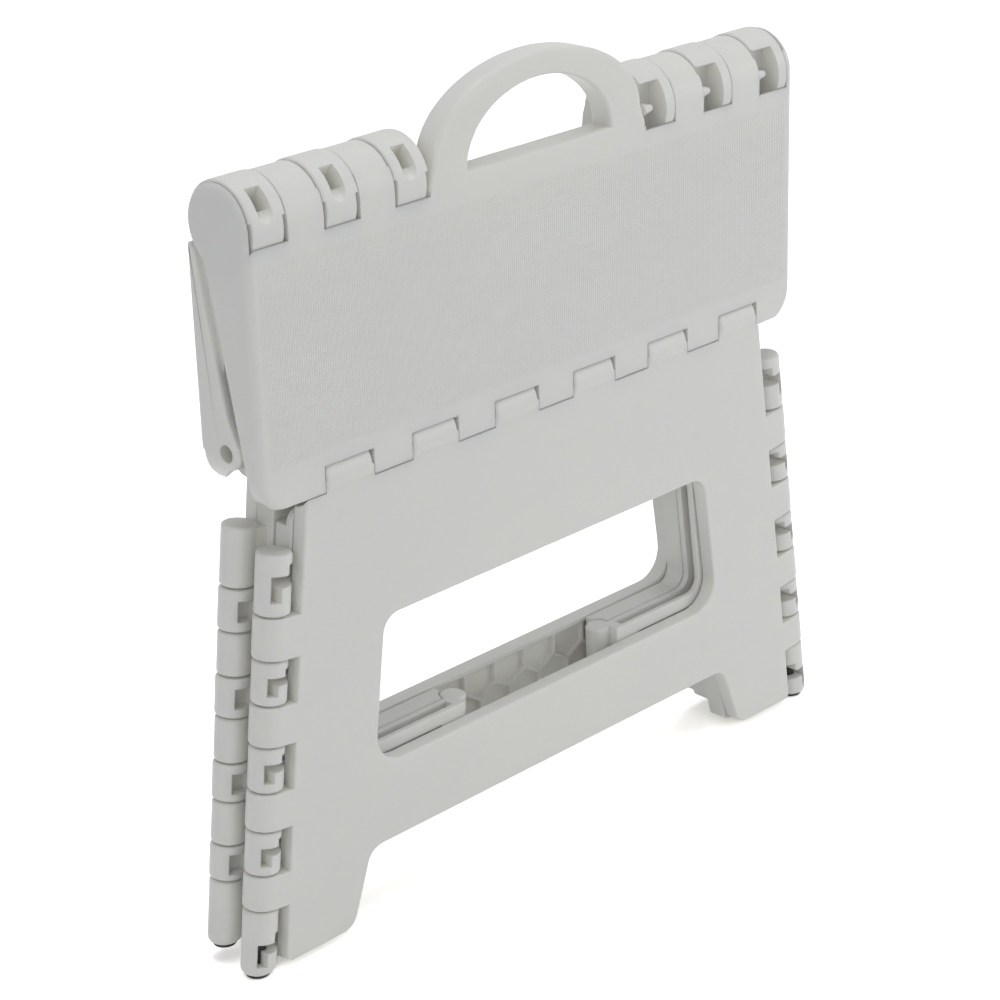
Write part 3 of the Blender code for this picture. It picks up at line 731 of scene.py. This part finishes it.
def recess_bosses():
    """A small cone in each deep recess, held by a web on the recess's back wall."""
    bosses = []
    place = HALF - BOSS_PLACE
    height = ROLL + BOSS_RISE
    for a, b in roll_spans()[0::2]:
        start = KNUCKLE_SHIFT - a - 2 * GAP
        end = start - BOSS_LENGTH
        bosses.append(rod((start, place, height), (end, place, height),
                          BOSS_RADIUS, PIN_SEGMENTS, 0.0, BOSS_TIP))
        bosses.append(box((end, KNUCKLE_RECESS - GAP, height - BOSS_TIP),
                          (start, place, height + BOSS_TIP)))
    return bosses


def seat_front():
    slide = -KNUCKLE_SHIFT
    own = both_sides(roll_spans()[1::2], slide)
    mate = both_sides(roll_spans()[0::2], slide)
    body = seat_shell(front_skirt(), SEAT_ROUND, SKIRT)
    add(body, [seat_core(own, HALF, SEAT_HALF - SEAT_ROUND, HINGE)])
    reach = HANDLE_HALF - WEB
    behind = (slide - reach, -HALF + HANDLE_DEPTH, ROLL - HANDLE_ROOT)
    cut(body, seat_cuts(mate, HINGE) + corner_trims(HINGE))
    cut(body, [box((slide - HANDLE_HALF, -FAR, ROLL - SLOT_DROP), (slide + HANDLE_HALF, FAR, FAR)),
               box(behind, (slide + reach, FAR, FAR))])
    add(body, [handle(slide)] + handle_webs(slide))
    return add(body, roll_pins(0.0, slide) + leg_pins(0.0))


def seat_rear():
    slide = KNUCKLE_SHIFT
    own = both_sides(roll_spans()[0::2], slide)
    mate = both_sides(roll_spans()[1::2], slide)
    end = SEAT_HALF - SKIRT - GAP
    body = seat_shell(rear_skirt(), SKIRT_ROUND, SKIRT + SKIRT_LAP)
    add(body, [seat_core(own, HALF + REAR_KNUCKLE_PROUD, end, REAR_HINGE)])
    ends = both_sides([(end, SEAT_HALF + 2 * SKIRT)], slide)
    lobe_y, lobe_z = lobe_centre()
    hole = rod((-FAR, -lobe_y, lobe_z), (FAR, -lobe_y, lobe_z), LOBE_HOLE)
    cut(body, seat_cuts(mate, REAR_HINGE) + corner_trims(REAR_HINGE))
    cut(body, [hole] + [roll_rod(span, HALF + ROLL_GAP) for span in ends])
    recess = [(slide + x, ROLL - z) for x, z in handle_outline(2 * HALF, HANDLE_GAP)]
    cut(body, [opening(recess, -HALF, FAR, RECESS_ROUND)] + handle_webs(slide, HANDLE_GAP))
    cut(body, knuckle_windows())
    cut(body, roll_pins(GAP, slide))
    return add(body, recess_bosses() + leg_pins(0.0, REAR_HINGE))


# Legs, both drawn as the front leg

def leg_edge(height):
    """X of the leg panel's left edge at a height."""
    return corner_x(height) + COLUMN_STANDOFF / AXIS_UP.z


def leg_teeth():
    """Corners of the teeth that carry the knuckles on the panel's left edge, from the foot up."""
    corners = []
    for low, high in knuckle_spans()[::-1]:
        near = -LEG_ROUND
        for height, out in ((low + GAP, COLUMN_STANDOFF), (low + GAP, near),
                            (high - GAP, near), (high - GAP, COLUMN_STANDOFF)):
            point = corner_point(height) + AXIS_IN * out
            corners.append((point.x, point.z, 0))
    return corners


def leg_outline():
    left = leg_edge(LEG_FOOT)
    top = leg_edge(HINGE)
    teeth = leg_teeth()
    return rounded([
        (left, LEG_FOOT, TOE_EDGE),
        (-ARCH_FOOT_HALF, LEG_FOOT, TOE_CORNER),
        (-ARCH_TOP_HALF, ARCH_CEILING, ARCH_CORNER),
        (ARCH_TOP_HALF, ARCH_CEILING, ARCH_CORNER),
        (ARCH_FOOT_HALF, LEG_FOOT, TOE_CORNER),
        (-left, LEG_FOOT, TOE_EDGE),
        *[(-x, z, radius) for x, z, radius in teeth],
        (-top, HINGE, 0),
        (top, HINGE, 0),
        *teeth[::-1],
    ])


def window_outline():
    return rounded([
        (-WINDOW_FLOOR_HALF, WINDOW_FLOOR, WINDOW_CORNER),
        (WINDOW_FLOOR_HALF, WINDOW_FLOOR, WINDOW_CORNER),
        (WINDOW_CEILING_HALF, WINDOW_CEILING, WINDOW_TOP_CORNER),
        (-WINDOW_CEILING_HALF, WINDOW_CEILING, WINDOW_TOP_CORNER),
    ])


def rib_fields():
    """Convex parts of the leg's inner face that hold honeycomb cells."""
    edge = CELL_RIM
    bar_low = ARCH_CEILING + edge
    bar_high = WINDOW_FLOOR - edge
    band_low = WINDOW_CEILING + edge
    band_high = HINGE - PIVOT_RADIUS - LEG_GAP - edge
    post_low = bar_high + CELL_WALL
    post_high = band_low - CELL_WALL
    toe = LEG_FOOT + edge
    fields = [
        [(leg_edge(bar_low) + edge, bar_low), (-leg_edge(bar_low) - edge, bar_low),
         (-leg_edge(bar_high) - edge, bar_high), (leg_edge(bar_high) + edge, bar_high)],
        [(leg_edge(band_low) + edge, band_low), (-leg_edge(band_low) - edge, band_low),
         (-leg_edge(band_high) - edge, band_high), (leg_edge(band_high) + edge, band_high)],
    ]
    for side in (1, -1):
        post = [(leg_edge(post_low) + edge, post_low), (-WINDOW_FLOOR_HALF - edge, post_low),
                (-WINDOW_CEILING_HALF - edge, post_high), (leg_edge(post_high) + edge, post_high)]
        shoe = [(leg_edge(toe) + edge, toe), (-ARCH_FOOT_HALF - 2 * edge, toe),
                (-ARCH_TOP_HALF - 2 * edge, ARCH_CEILING + edge - CELL_WALL),
                (leg_edge(ARCH_CEILING) + edge, ARCH_CEILING + edge - CELL_WALL)]
        fields += [[(side * x, z) for x, z in post], [(side * x, z) for x, z in shoe]]
    return [anticlockwise(field) for field in fields]


def clipped(outline, field):
    """The part of a convex outline inside an anticlockwise convex field."""
    for (ax, az), (bx, bz) in zip(field, field[1:] + field[:1]):
        kept = []
        for here, ahead in zip(outline, outline[1:] + outline[:1]):
            depth = (bx - ax) * (here[1] - az) - (bz - az) * (here[0] - ax)
            next_depth = (bx - ax) * (ahead[1] - az) - (bz - az) * (ahead[0] - ax)
            if depth >= 0:
                kept.append(here)
            if depth * next_depth < 0:
                part = depth / (depth - next_depth)
                kept.append((here[0] + (ahead[0] - here[0]) * part, here[1] + (ahead[1] - here[1]) * part))
        outline = kept
    return outline


def breadth(outline):
    """The smaller side of an outline's bounding box."""
    return min(max(p[k] for p in outline) - min(p[k] for p in outline) for k in (0, 1))


def rib_cells():
    """Six-sided hollows that leave honeycomb ribs on the leg's inner face."""
    radius = (CELL_PITCH - CELL_WALL) / math.sqrt(3)
    row_step = CELL_PITCH * math.sqrt(3) / 2
    cells = []
    columns = int(FOOT_AXIS / CELL_PITCH) + 1
    for row in range(int(HINGE / row_step) + 1):
        for column in range(-columns, columns + 1):
            x = CELL_PITCH * (column + 0.5 * (row % 2))
            outline = []
            for k in range(6):
                turn = math.pi / 6 + math.pi / 3 * k
                outline.append((x + radius * math.cos(turn), row_step * row + radius * math.sin(turn)))
            for field in rib_fields():
                cell = clipped(outline, field)
                if len(cell) > 2 and breadth(cell) > 2 * CELL_WALL:
                    cells.append(slab(cell, "Y", -HALF + CELL_SKIN, FAR))
    return cells


def leg_knuckles():
    """Knuckles on the left corner axis."""
    return [column_rod(low + GAP, high - GAP, PIVOT_RADIUS - TANGENT) for low, high in knuckle_spans()]


def knuckle_cuts():
    """Sockets for the posts' stubs, and a pocket in the inner side of each knuckle."""
    tools = []
    half = COLUMN_POCKET / 2
    for low, high in knuckle_spans():
        middle = (low + high) / 2
        tools.append(pin(corner_point(low), AXIS_UP, GAP))
        tools.append(pin(corner_point(high), -AXIS_UP, GAP))
        tools.append(tilted_block(middle - half, middle + half, -half, half, PIVOT_Y + PIN_TIP, FAR))
    return tools


def leg():
    back = -HALF + LEG_THICKNESS
    body = slab(leg_outline(), "Y", -HALF, back, LEG_ROUND, LEG_ROUND / 2)
    cut(body, [opening(window_outline(), -HALF, back, LEG_ROUND, LEG_ROUND / 2)])
    cut(body, [joined(rib_cells())])
    knuckles = leg_knuckles()
    rolls = [pivot_rod((a + GAP, b - PIVOT_END), PIVOT_RADIUS + PIVOT_PROUD, 0.0, HINGE, PIVOT_ROUND)
             for a, b in leg_pivot_spans()]
    add(body, rolls + knuckles + mirrored(knuckles))
    cuts = knuckle_cuts()
    room = math.hypot(PIVOT_RADIUS, TONGUE) + TONGUE_GAP
    cut(body, [pivot_rod(span, room) for span in seat_pivot_spans()]
        + leg_pins(GAP) + cuts + mirrored(cuts))
    return body


# Side panels, all drawn as the front left one

def side_edge(height):
    """X of the side panel's straight outer edge at a height, folded."""
    return corner_x(height) + SIDE_EDGE / AXIS_UP.z


def side_end(height):
    return centre_x(height) - CENTRE_SETBACK


def side_levels(floor):
    """Height spans of the middle hinge on the lower and the upper bar."""
    return ((ARCH_CEILING, floor), (WINDOW_CEILING, HINGE - SIDE_CENTRE_DROP))


def side_outline(floor):
    """Outline of a side panel whose window starts at a floor height."""
    top = HINGE - SIDE_TOP_DROP
    shoulder = HINGE - SIDE_CENTRE_DROP
    return rounded([
        (side_edge(LEG_FOOT), LEG_FOOT, 0),
        (-SIDE_TOE_HALF, LEG_FOOT, SIDE_CORNER / 2),
        (-SIDE_ARCH_HALF, ARCH_CEILING, SIDE_CORNER),
        (side_end(ARCH_CEILING), ARCH_CEILING, 0),
        (side_end(floor), floor, 0),
        (-SIDE_WINDOW_HALF, floor, SIDE_CORNER),
        (-SIDE_WINDOW_HALF + SIDE_WINDOW_LEAN, WINDOW_CEILING, SIDE_CORNER),
        (side_end(WINDOW_CEILING), WINDOW_CEILING, 0),
        (side_end(shoulder), shoulder, 0),
        (side_end(shoulder) - SIDE_SHOULDER, shoulder, SIDE_CORNER),
        (side_edge(top), top, SIDE_CORNER),
    ])


def side_pockets(floor):
    """Shallow hollows in the face that lies on the leg, bounded by rims."""
    rim_width = SIDE_POCKET_RIM
    bars = []
    for low, high in side_levels(floor):
        bars.append((low + rim_width, high - rim_width, side_end(low) - SIDE_POCKET_END))
    bars.append((floor + rim_width, WINDOW_CEILING - rim_width, -SIDE_WINDOW_HALF - rim_width))
    tools = []
    for low, high, end in bars:
        outline = [(side_edge(low) + rim_width, low), (end, low),
                   (end, high), (side_edge(high) + rim_width, high)]
        tools.append(slab(outline, "Y", -FAR, SIDE_FRONT + SIDE_POCKET_DEPTH))
    return tools


def side_groove(floor):
    """A channel along the panel's edge round the window."""
    low = floor - GROOVE_DEPTH
    high = WINDOW_CEILING + GROOVE_DEPTH
    outline = rounded([
        (-SIDE_WINDOW_HALF - GROOVE_DEPTH, low, SIDE_CORNER),
        (side_end(low) - GROOVE_END, low, 0),
        (side_end(high) - GROOVE_END, high, 0),
        (-SIDE_WINDOW_HALF - GROOVE_DEPTH + SIDE_WINDOW_LEAN, high, SIDE_CORNER),
    ])
    return slab(outline, "Y", SIDE_FRONT + GROOVE_FRONT, SIDE_FRONT + GROOVE_BACK)


def side_neck():
    """The space over the panel's shoulder that the seat's skirt needs when open."""
    return box((-FAR, SIDE_FRONT + SIDE_NECK, HINGE - SIDE_NECK_DROP), (FAR, FAR, FAR))


def foot_post(top):
    """The lowest post, with a level rounded foot and a square top."""
    level = [(POST_RISE + depth, COLUMN_RADIUS - inset) for depth, inset in rim(POST_FOOT_ROUND)]
    square = [(POST_SQUARE, COLUMN_RADIUS)]
    square += [(top - depth, COLUMN_RADIUS - inset) for depth, inset in rim(COLUMN_ROUND)[::-1]]
    return level_rod(corner_point(0), level, KNUCKLE_SEGMENTS, square)


def side_posts():
    """Posts on the corner axis with their bridges and stubs."""
    tools = []
    for low, high in post_spans():
        top = high - GAP
        foot = LEG_FOOT if low is None else low + GAP
        sill = foot + COLUMN_ROUND
        if low is None:
            tools.append(foot_post(top))
        else:
            tools.append(column_rod(foot, top, COLUMN_RADIUS))
        tools.append(tilted_block(sill, top - COLUMN_ROUND, 0.0, SIDE_EDGE + BRIDGE_LAP,
                                  SIDE_FRONT, SIDE_FRONT + SIDE_BRIDGE))
        if high != COLUMN_TOP:
            tools.append(pin(corner_point(high), AXIS_UP, 0.0))
        if low is not None:
            tools.append(pin(corner_point(low), -AXIS_UP, 0.0))
    return tools


def post_cuts():
    """Windows in the posts, each with a tongue over its mouth and a lip under it."""
    tools = []
    for low, high in post_spans():
        start, tall = (low, high - low) if low else (0.0, FOOT_WINDOW_HIGH / POST_WINDOW_MOUTH)
        sill = start + tall * POST_WINDOW_LOW
        lip = start + tall * POST_WINDOW_LIP
        lintel = start + tall * POST_WINDOW_HIGH
        mouth = start + tall * POST_WINDOW_MOUTH
        back = PIVOT_Y + POST_WINDOW_BACK
        reach = 2 * COLUMN_RADIUS
        tools.append(tilted_block(lip, lintel, POST_WINDOW_NEAR, reach, -FAR, back))
        tools.append(tilted_block(sill, lip + GAP, POST_WINDOW_NEAR, POST_LIP, -FAR, back - GAP))
        tools.append(tilted_block(lintel - GAP, mouth, POST_TONGUE, reach, -FAR, back - GAP))
    return tools


def centre_rod(low, high, radius, rounding=0.0):
    start = (centre_x(low), 0, low)
    return rod(start, (centre_x(high), 0, high), radius, KNUCKLE_SEGMENTS, rounding)


def side(rear):
    """A side panel, with the lower barrels of the middle hinge on a rear one, else the upper."""
    lift = REAR_RISE if rear else 0.0
    floor = SIDE_FLOOR_REAR if rear else SIDE_FLOOR_FRONT
    body = slab(side_outline(floor), "Y", SIDE_FRONT, SIDE_FRONT + SIDE_THICKNESS, SIDE_ROUND, SIDE_ROUND)
    if not rear:
        cut(body, [side_groove(floor)])
    cut(body, side_pockets(floor) + [side_neck()])
    own = []
    mate = []
    for (low, high), (_, front_high) in zip(side_levels(floor), side_levels(SIDE_FLOOR_FRONT)):
        middle = (low + front_high) / 2 - lift
        if rear:
            own.append((low, middle - GAP))
            mate.append((middle, high + BRIDGE_LAP))
        else:
            own.append((middle + GAP, high))
            mate.append((low - BRIDGE_LAP, middle))
    cut(body, [centre_rod(a, b, CENTRE_RADIUS + SIDE_GAP) for a, b in mate])
    add(body, side_posts() + [centre_rod(a, b, CENTRE_RADIUS, CENTRE_ROUND) for a, b in own])
    cut(body, post_cuts())
    bore = [(-FOOT_RADIUS, STEM_RADIUS + GAP), (STEM_TOP + GAP, STEM_RADIUS + GAP)]
    return cut(body, [level_rod(corner_point(0), bore, PIN_SEGMENTS)])


def foot():
    """A rubber plug: a rounded flat head under the post and a stem up its bore."""
    levels = [(depth, FOOT_RADIUS - inset) for depth, inset in rim(FOOT_ROUND)]
    levels += [(FOOT_HEAD, FOOT_RADIUS), (FOOT_HEAD, STEM_RADIUS), (STEM_TOP, STEM_RADIUS)]
    return level_rod(corner_point(0), levels, KNUCKLE_SEGMENTS)


# Materials

PLASTIC_DARK = (0.819, 0.810, 0.765, 1.0)
PLASTIC_LIGHT = (0.856, 0.848, 0.801, 1.0)
PLASTIC_ROUGH = 0.36
CLOUD_SCALE = 14.0
CLOUD_SHARE = 0.7
CLOUD_ROUGH = 0.08
SPECK_SCALE = 900.0
SPECK_SHARE = 0.3
SPECK_ROUGH = 0.06
SPECK_GRAIN = 0.12
SPECK_DETAIL = 2.0
LINEN_HALF = 0.1425
LINEN_LOW = 0.010
LINEN_HIGH = 0.0110
LINEN_FADE = 0.0020
LINEN_PITCH = 0.0011
GRAIN_HEIGHT = 0.0004
GRAIN_STRENGTH = 0.5
EDGE_SOFT = 0.0006
EDGE_SAMPLES = 6
SCATTER = 0.35
SCATTER_RADIUS = (1.0, 0.9, 0.7)
SCATTER_DEPTH = 0.006
RUBBER_DARK = (0.010, 0.010, 0.010, 1.0)
RUBBER_LIGHT = (0.022, 0.022, 0.021, 1.0)
RUBBER_ROUGH = 0.62
RUBBER_ROUGH_SPAN = 0.2
RUBBER_SPECK_SCALE = 1400.0
RUBBER_DUST_SCALE = 60.0
RUBBER_GRAIN_HEIGHT = 0.0001
RUBBER_GRAIN_STRENGTH = 0.4

# Sockets of a colour Mix node, by number because their names repeat
MIX_FIRST = 6
MIX_SECOND = 7
MIX_RESULT = 2


class Shade:
    """A shader socket that Python operators work on."""

    def __init__(self, tree, socket=None):
        self.tree = tree
        self.socket = socket

    def node(self, kind, settings=None, inputs=None, output=0):
        """Add a node, set its settings, then fill or link its sockets."""
        made = self.tree.nodes.new(kind)
        for name, value in (settings or {}).items():
            setattr(made, name, value)
        for name, value in (inputs or {}).items():
            if isinstance(value, Shade):
                self.tree.links.new(value.socket, made.inputs[name])
            else:
                made.inputs[name].default_value = value
        return Shade(self.tree, made.outputs[output])

    def maths(self, operation, *values):
        return self.node("ShaderNodeMath", {"operation": operation}, dict(enumerate(values)))

    def __add__(self, other):
        return self.maths("ADD", self, other)

    def __radd__(self, other):
        return self.maths("ADD", other, self)

    def __sub__(self, other):
        return self.maths("SUBTRACT", self, other)

    def __rsub__(self, other):
        return self.maths("SUBTRACT", other, self)

    def __mul__(self, other):
        return self.maths("MULTIPLY", self, other)

    def __rmul__(self, other):
        return self.maths("MULTIPLY", other, self)


def new_material(name):
    """A material, its Principled shader, and the shade its other nodes start from."""
    mat = bpy.data.materials.new(name)
    mat.use_nodes = True
    return mat, mat.node_tree.nodes["Principled BSDF"], Shade(mat.node_tree)


def feed(shader, name, shade):
    shade.tree.links.new(shade.socket, shader.inputs[name])


def noise(place, scale, detail=3.0):
    return place.node("ShaderNodeTexNoise", {}, {"Vector": place, "Scale": scale, "Detail": detail})


def axis(place, name):
    return place.node("ShaderNodeSeparateXYZ", {}, {"Vector": place}, name)


def mixed(start, factor, first, second):
    """A colour between two, by a factor from 0 to 1."""
    inputs = {"Factor": factor, MIX_FIRST: first, MIX_SECOND: second}
    return start.node("ShaderNodeMix", {"data_type": "RGBA"}, inputs, MIX_RESULT)


def within(value, low, high, soft):
    """1 where a value lies between two limits, falling to 0 over a soft width."""
    rise = (value - low) * (1.0 / soft)
    fall = (high - value) * (1.0 / soft)
    lowest = value.maths("MINIMUM", rise, fall)
    return value.maths("MINIMUM", value.maths("MAXIMUM", lowest, 0.0), 1.0)


def linen(place, pitch):
    """Height of a plain weave over the X and Z directions, from 0 to 1."""
    x = axis(place, "X")
    z = axis(place, "Z")
    warp = x.maths("SINE", x * (math.pi / pitch))
    weft = z.maths("SINE", z * (math.pi / pitch))
    over = warp * weft * 0.5 + 0.5
    return over * warp.maths("ABSOLUTE", warp) + (1 - over) * weft.maths("ABSOLUTE", weft)


def moulded_plastic(name, hinge=None):
    """Off-white satin plastic, with a linen-grained panel where a seat half is stood on."""
    mat, shader, start = new_material(name)
    place = start.node("ShaderNodeTexCoord", output="Object")
    cloud = noise(place, CLOUD_SCALE)
    speck = noise(place, SPECK_SCALE, SPECK_DETAIL)
    shade = cloud * CLOUD_SHARE + speck * SPECK_SHARE
    feed(shader, "Base Color", mixed(start, shade, PLASTIC_DARK, PLASTIC_LIGHT))
    feed(shader, "Roughness", PLASTIC_ROUGH + cloud * CLOUD_ROUGH + speck * SPECK_ROUGH)
    grain = speck * SPECK_GRAIN
    if hinge is not None:
        y = axis(place, "Y")
        panel = within(axis(place, "X"), -LINEN_HALF, LINEN_HALF, LINEN_FADE)
        panel = panel * within(axis(place, "Z"), hinge + LINEN_LOW, ROLL - LINEN_HIGH, LINEN_FADE)
        panel = panel * within(y.maths("ABSOLUTE", y), HALF - LINEN_FADE, FAR, LINEN_FADE / 2)
        grain = grain + panel * linen(place, LINEN_PITCH)
    soft_edge = start.node("ShaderNodeBevel", {"samples": EDGE_SAMPLES}, {"Radius": EDGE_SOFT})
    relief = start.node("ShaderNodeBump", {}, {
        "Strength": GRAIN_STRENGTH, "Distance": GRAIN_HEIGHT, "Height": grain, "Normal": soft_edge})
    feed(shader, "Normal", relief)
    shader.inputs["Subsurface Weight"].default_value = SCATTER
    shader.inputs["Subsurface Radius"].default_value = SCATTER_RADIUS
    shader.inputs["Subsurface Scale"].default_value = SCATTER_DEPTH
    return mat


def black_rubber():
    mat, shader, start = new_material("black_rubber")
    place = start.node("ShaderNodeTexCoord", output="Object")
    speck = noise(place, RUBBER_SPECK_SCALE, SPECK_DETAIL)
    dust = noise(place, RUBBER_DUST_SCALE)
    feed(shader, "Base Color", mixed(start, dust, RUBBER_DARK, RUBBER_LIGHT))
    feed(shader, "Roughness", RUBBER_ROUGH + speck * RUBBER_ROUGH_SPAN)
    relief = start.node("ShaderNodeBump", {}, {
        "Strength": RUBBER_GRAIN_STRENGTH, "Distance": RUBBER_GRAIN_HEIGHT, "Height": speck})
    feed(shader, "Normal", relief)
    return mat


plain = moulded_plastic("moulded_plastic")
grained_front = moulded_plastic("linen_grain_front", HINGE)
grained_rear = moulded_plastic("linen_grain_rear", REAR_HINGE)
rubber = black_rubber()


# Pieces in their places

SHARP = math.radians(32.0)
MERGE = 1e-6


def finish(obj, node, body, mat, flip=(1, 1), lift=0.0):
    """Put a piece that was drawn at the front left in its place, smooth it and hang it on its body."""
    work = bmesh.new()
    work.from_mesh(obj.data)
    bmesh.ops.transform(work, matrix=Matrix.Diagonal((flip[0], flip[1], 1, 1)), verts=work.verts)
    bmesh.ops.translate(work, vec=(0, 0, lift), verts=work.verts)
    bmesh.ops.remove_doubles(work, verts=work.verts, dist=MERGE)
    bmesh.ops.dissolve_degenerate(work, edges=work.edges, dist=MERGE)
    bmesh.ops.recalc_face_normals(work, faces=work.faces)
    work.to_mesh(obj.data)
    work.free()
    obj.name = node + "_look"
    obj.data.shade_smooth()
    obj.data.set_sharp_from_angle(angle=SHARP)
    weighted = obj.modifiers.new("even", "WEIGHTED_NORMAL")
    weighted.keep_sharp = True
    obj.data.materials.clear()
    obj.data.materials.append(mat)
    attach(obj, body)
    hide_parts(node)


finish(seat_front(), "seat_front", "seat_front", grained_front)
finish(seat_rear(), "seat_rear", "seat_rear", grained_rear, (-1, -1))
finish(leg(), "leg_front", "leg_front", plain)
finish(leg(), "leg_rear", "leg_rear", plain, (-1, -1), REAR_RISE)
for end, flip_y, lift in (("front", 1, 0.0), ("rear", -1, REAR_RISE)):
    for hand, flip_x in (("left", 1), ("right", -1)):
        quarter = end + "_" + hand
        body = "side_" + quarter
        finish(side(end == "rear"), body, body, plain, (flip_x, flip_y), lift)
        finish(foot(), "foot_" + quarter, body, rubber, (flip_x, flip_y), lift)


# Camera

CAMERA_PLACE = (-0.73499, -0.72793, 0.56903)
CAMERA_RIGHT = Vector((0.70120646, -0.71239481, -0.02833953))
CAMERA_UP = Vector((0.29120654, 0.24989783, 0.92344454))
CAMERA_AHEAD = Vector((0.65077512, 0.65577794, -0.382684))
SENSOR = 36.0
FOCAL_PIXELS = 2835.6
PICTURE_PIXELS = 1000.0

cam_data = bpy.data.cameras.new("camera")
cam = linked("camera", cam_data)
cam_turn = Matrix((CAMERA_RIGHT, CAMERA_UP, -CAMERA_AHEAD)).transposed().to_4x4()
cam.matrix_world = Matrix.Translation(CAMERA_PLACE) @ cam_turn
cam_data.sensor_width = SENSOR
cam_data.lens = FOCAL_PIXELS * SENSOR / PICTURE_PIXELS
bpy.context.scene.camera = cam


# Floor, world and lamps

FLOOR_HALF = 6.0
FLOOR_SEEN = (2.76, 2.71, 2.64, 1.0)
FLOOR_LIT = (0.80, 0.80, 0.80, 1.0)
LIGHT_TINT = (0.958, 0.975, 1.0)
WHITE = (1.0, 1.0, 1.0, 1.0)
SKY_LEVEL = 0.245
LAMP_TARGET = Vector((0.0, 0.0, 0.15))


def plain_white_rays(start):
    """1 for the rays that see the floor or the sky as a plain white ground, else 0."""
    seen = start.node("ShaderNodeLightPath", output="Is Camera Ray")
    gloss = start.node("ShaderNodeLightPath", output="Is Glossy Ray")
    through = start.node("ShaderNodeLightPath", output="Is Transmission Ray")
    return seen.maths("MINIMUM", seen + gloss + through, 1.0)


floor_mesh = bpy.data.meshes.new("floor")
floor_corners = [(FLOOR_HALF * x, FLOOR_HALF * y, 0) for x, y in ((-1, -1), (1, -1), (1, 1), (-1, 1))]
floor_mesh.from_pydata(floor_corners, [], [(0, 1, 2, 3)])
floor = linked("floor", floor_mesh)
floor_mat, _, floor_start = new_material("pale_floor")
ground = mixed(floor_start, plain_white_rays(floor_start), FLOOR_LIT, FLOOR_SEEN)
chalk = floor_start.node("ShaderNodeBsdfDiffuse", {}, {"Color": ground})
floor_out = floor_mat.node_tree.nodes["Material Output"]
floor_mat.node_tree.links.new(chalk.socket, floor_out.inputs["Surface"])
floor_mesh.materials.append(floor_mat)

world = bpy.data.worlds.new("world")
bpy.context.scene.world = world
world.use_nodes = True
sky = world.node_tree.nodes["Background"]
sky_start = Shade(world.node_tree)
white = plain_white_rays(sky_start)
feed(sky, "Color", mixed(sky_start, white, (*LIGHT_TINT, 1.0), WHITE))
feed(sky, "Strength", SKY_LEVEL + white * (1.0 - SKY_LEVEL))


def lamp(name, place, size, power):
    """A square area lamp aimed at the middle of the object."""
    data = bpy.data.lights.new(name, "AREA")
    data.shape = "SQUARE"
    data.size = size
    data.energy = power
    data.color = LIGHT_TINT
    obj = linked(name, data)
    obj.location = place
    aim = LAMP_TARGET - Vector(place)
    obj.rotation_euler = aim.to_track_quat("-Z", "Y").to_euler()


lamp("key", (1.15, -1.20, 0.60), 0.9, 6.3)
lamp("fill", (-1.95, -1.10, 1.00), 1.8, 11.6)
lamp("top", (0.1, 0.0, 2.4), 1.8, 19.2)

bpy.context.scene.view_settings.view_transform = "Standard"
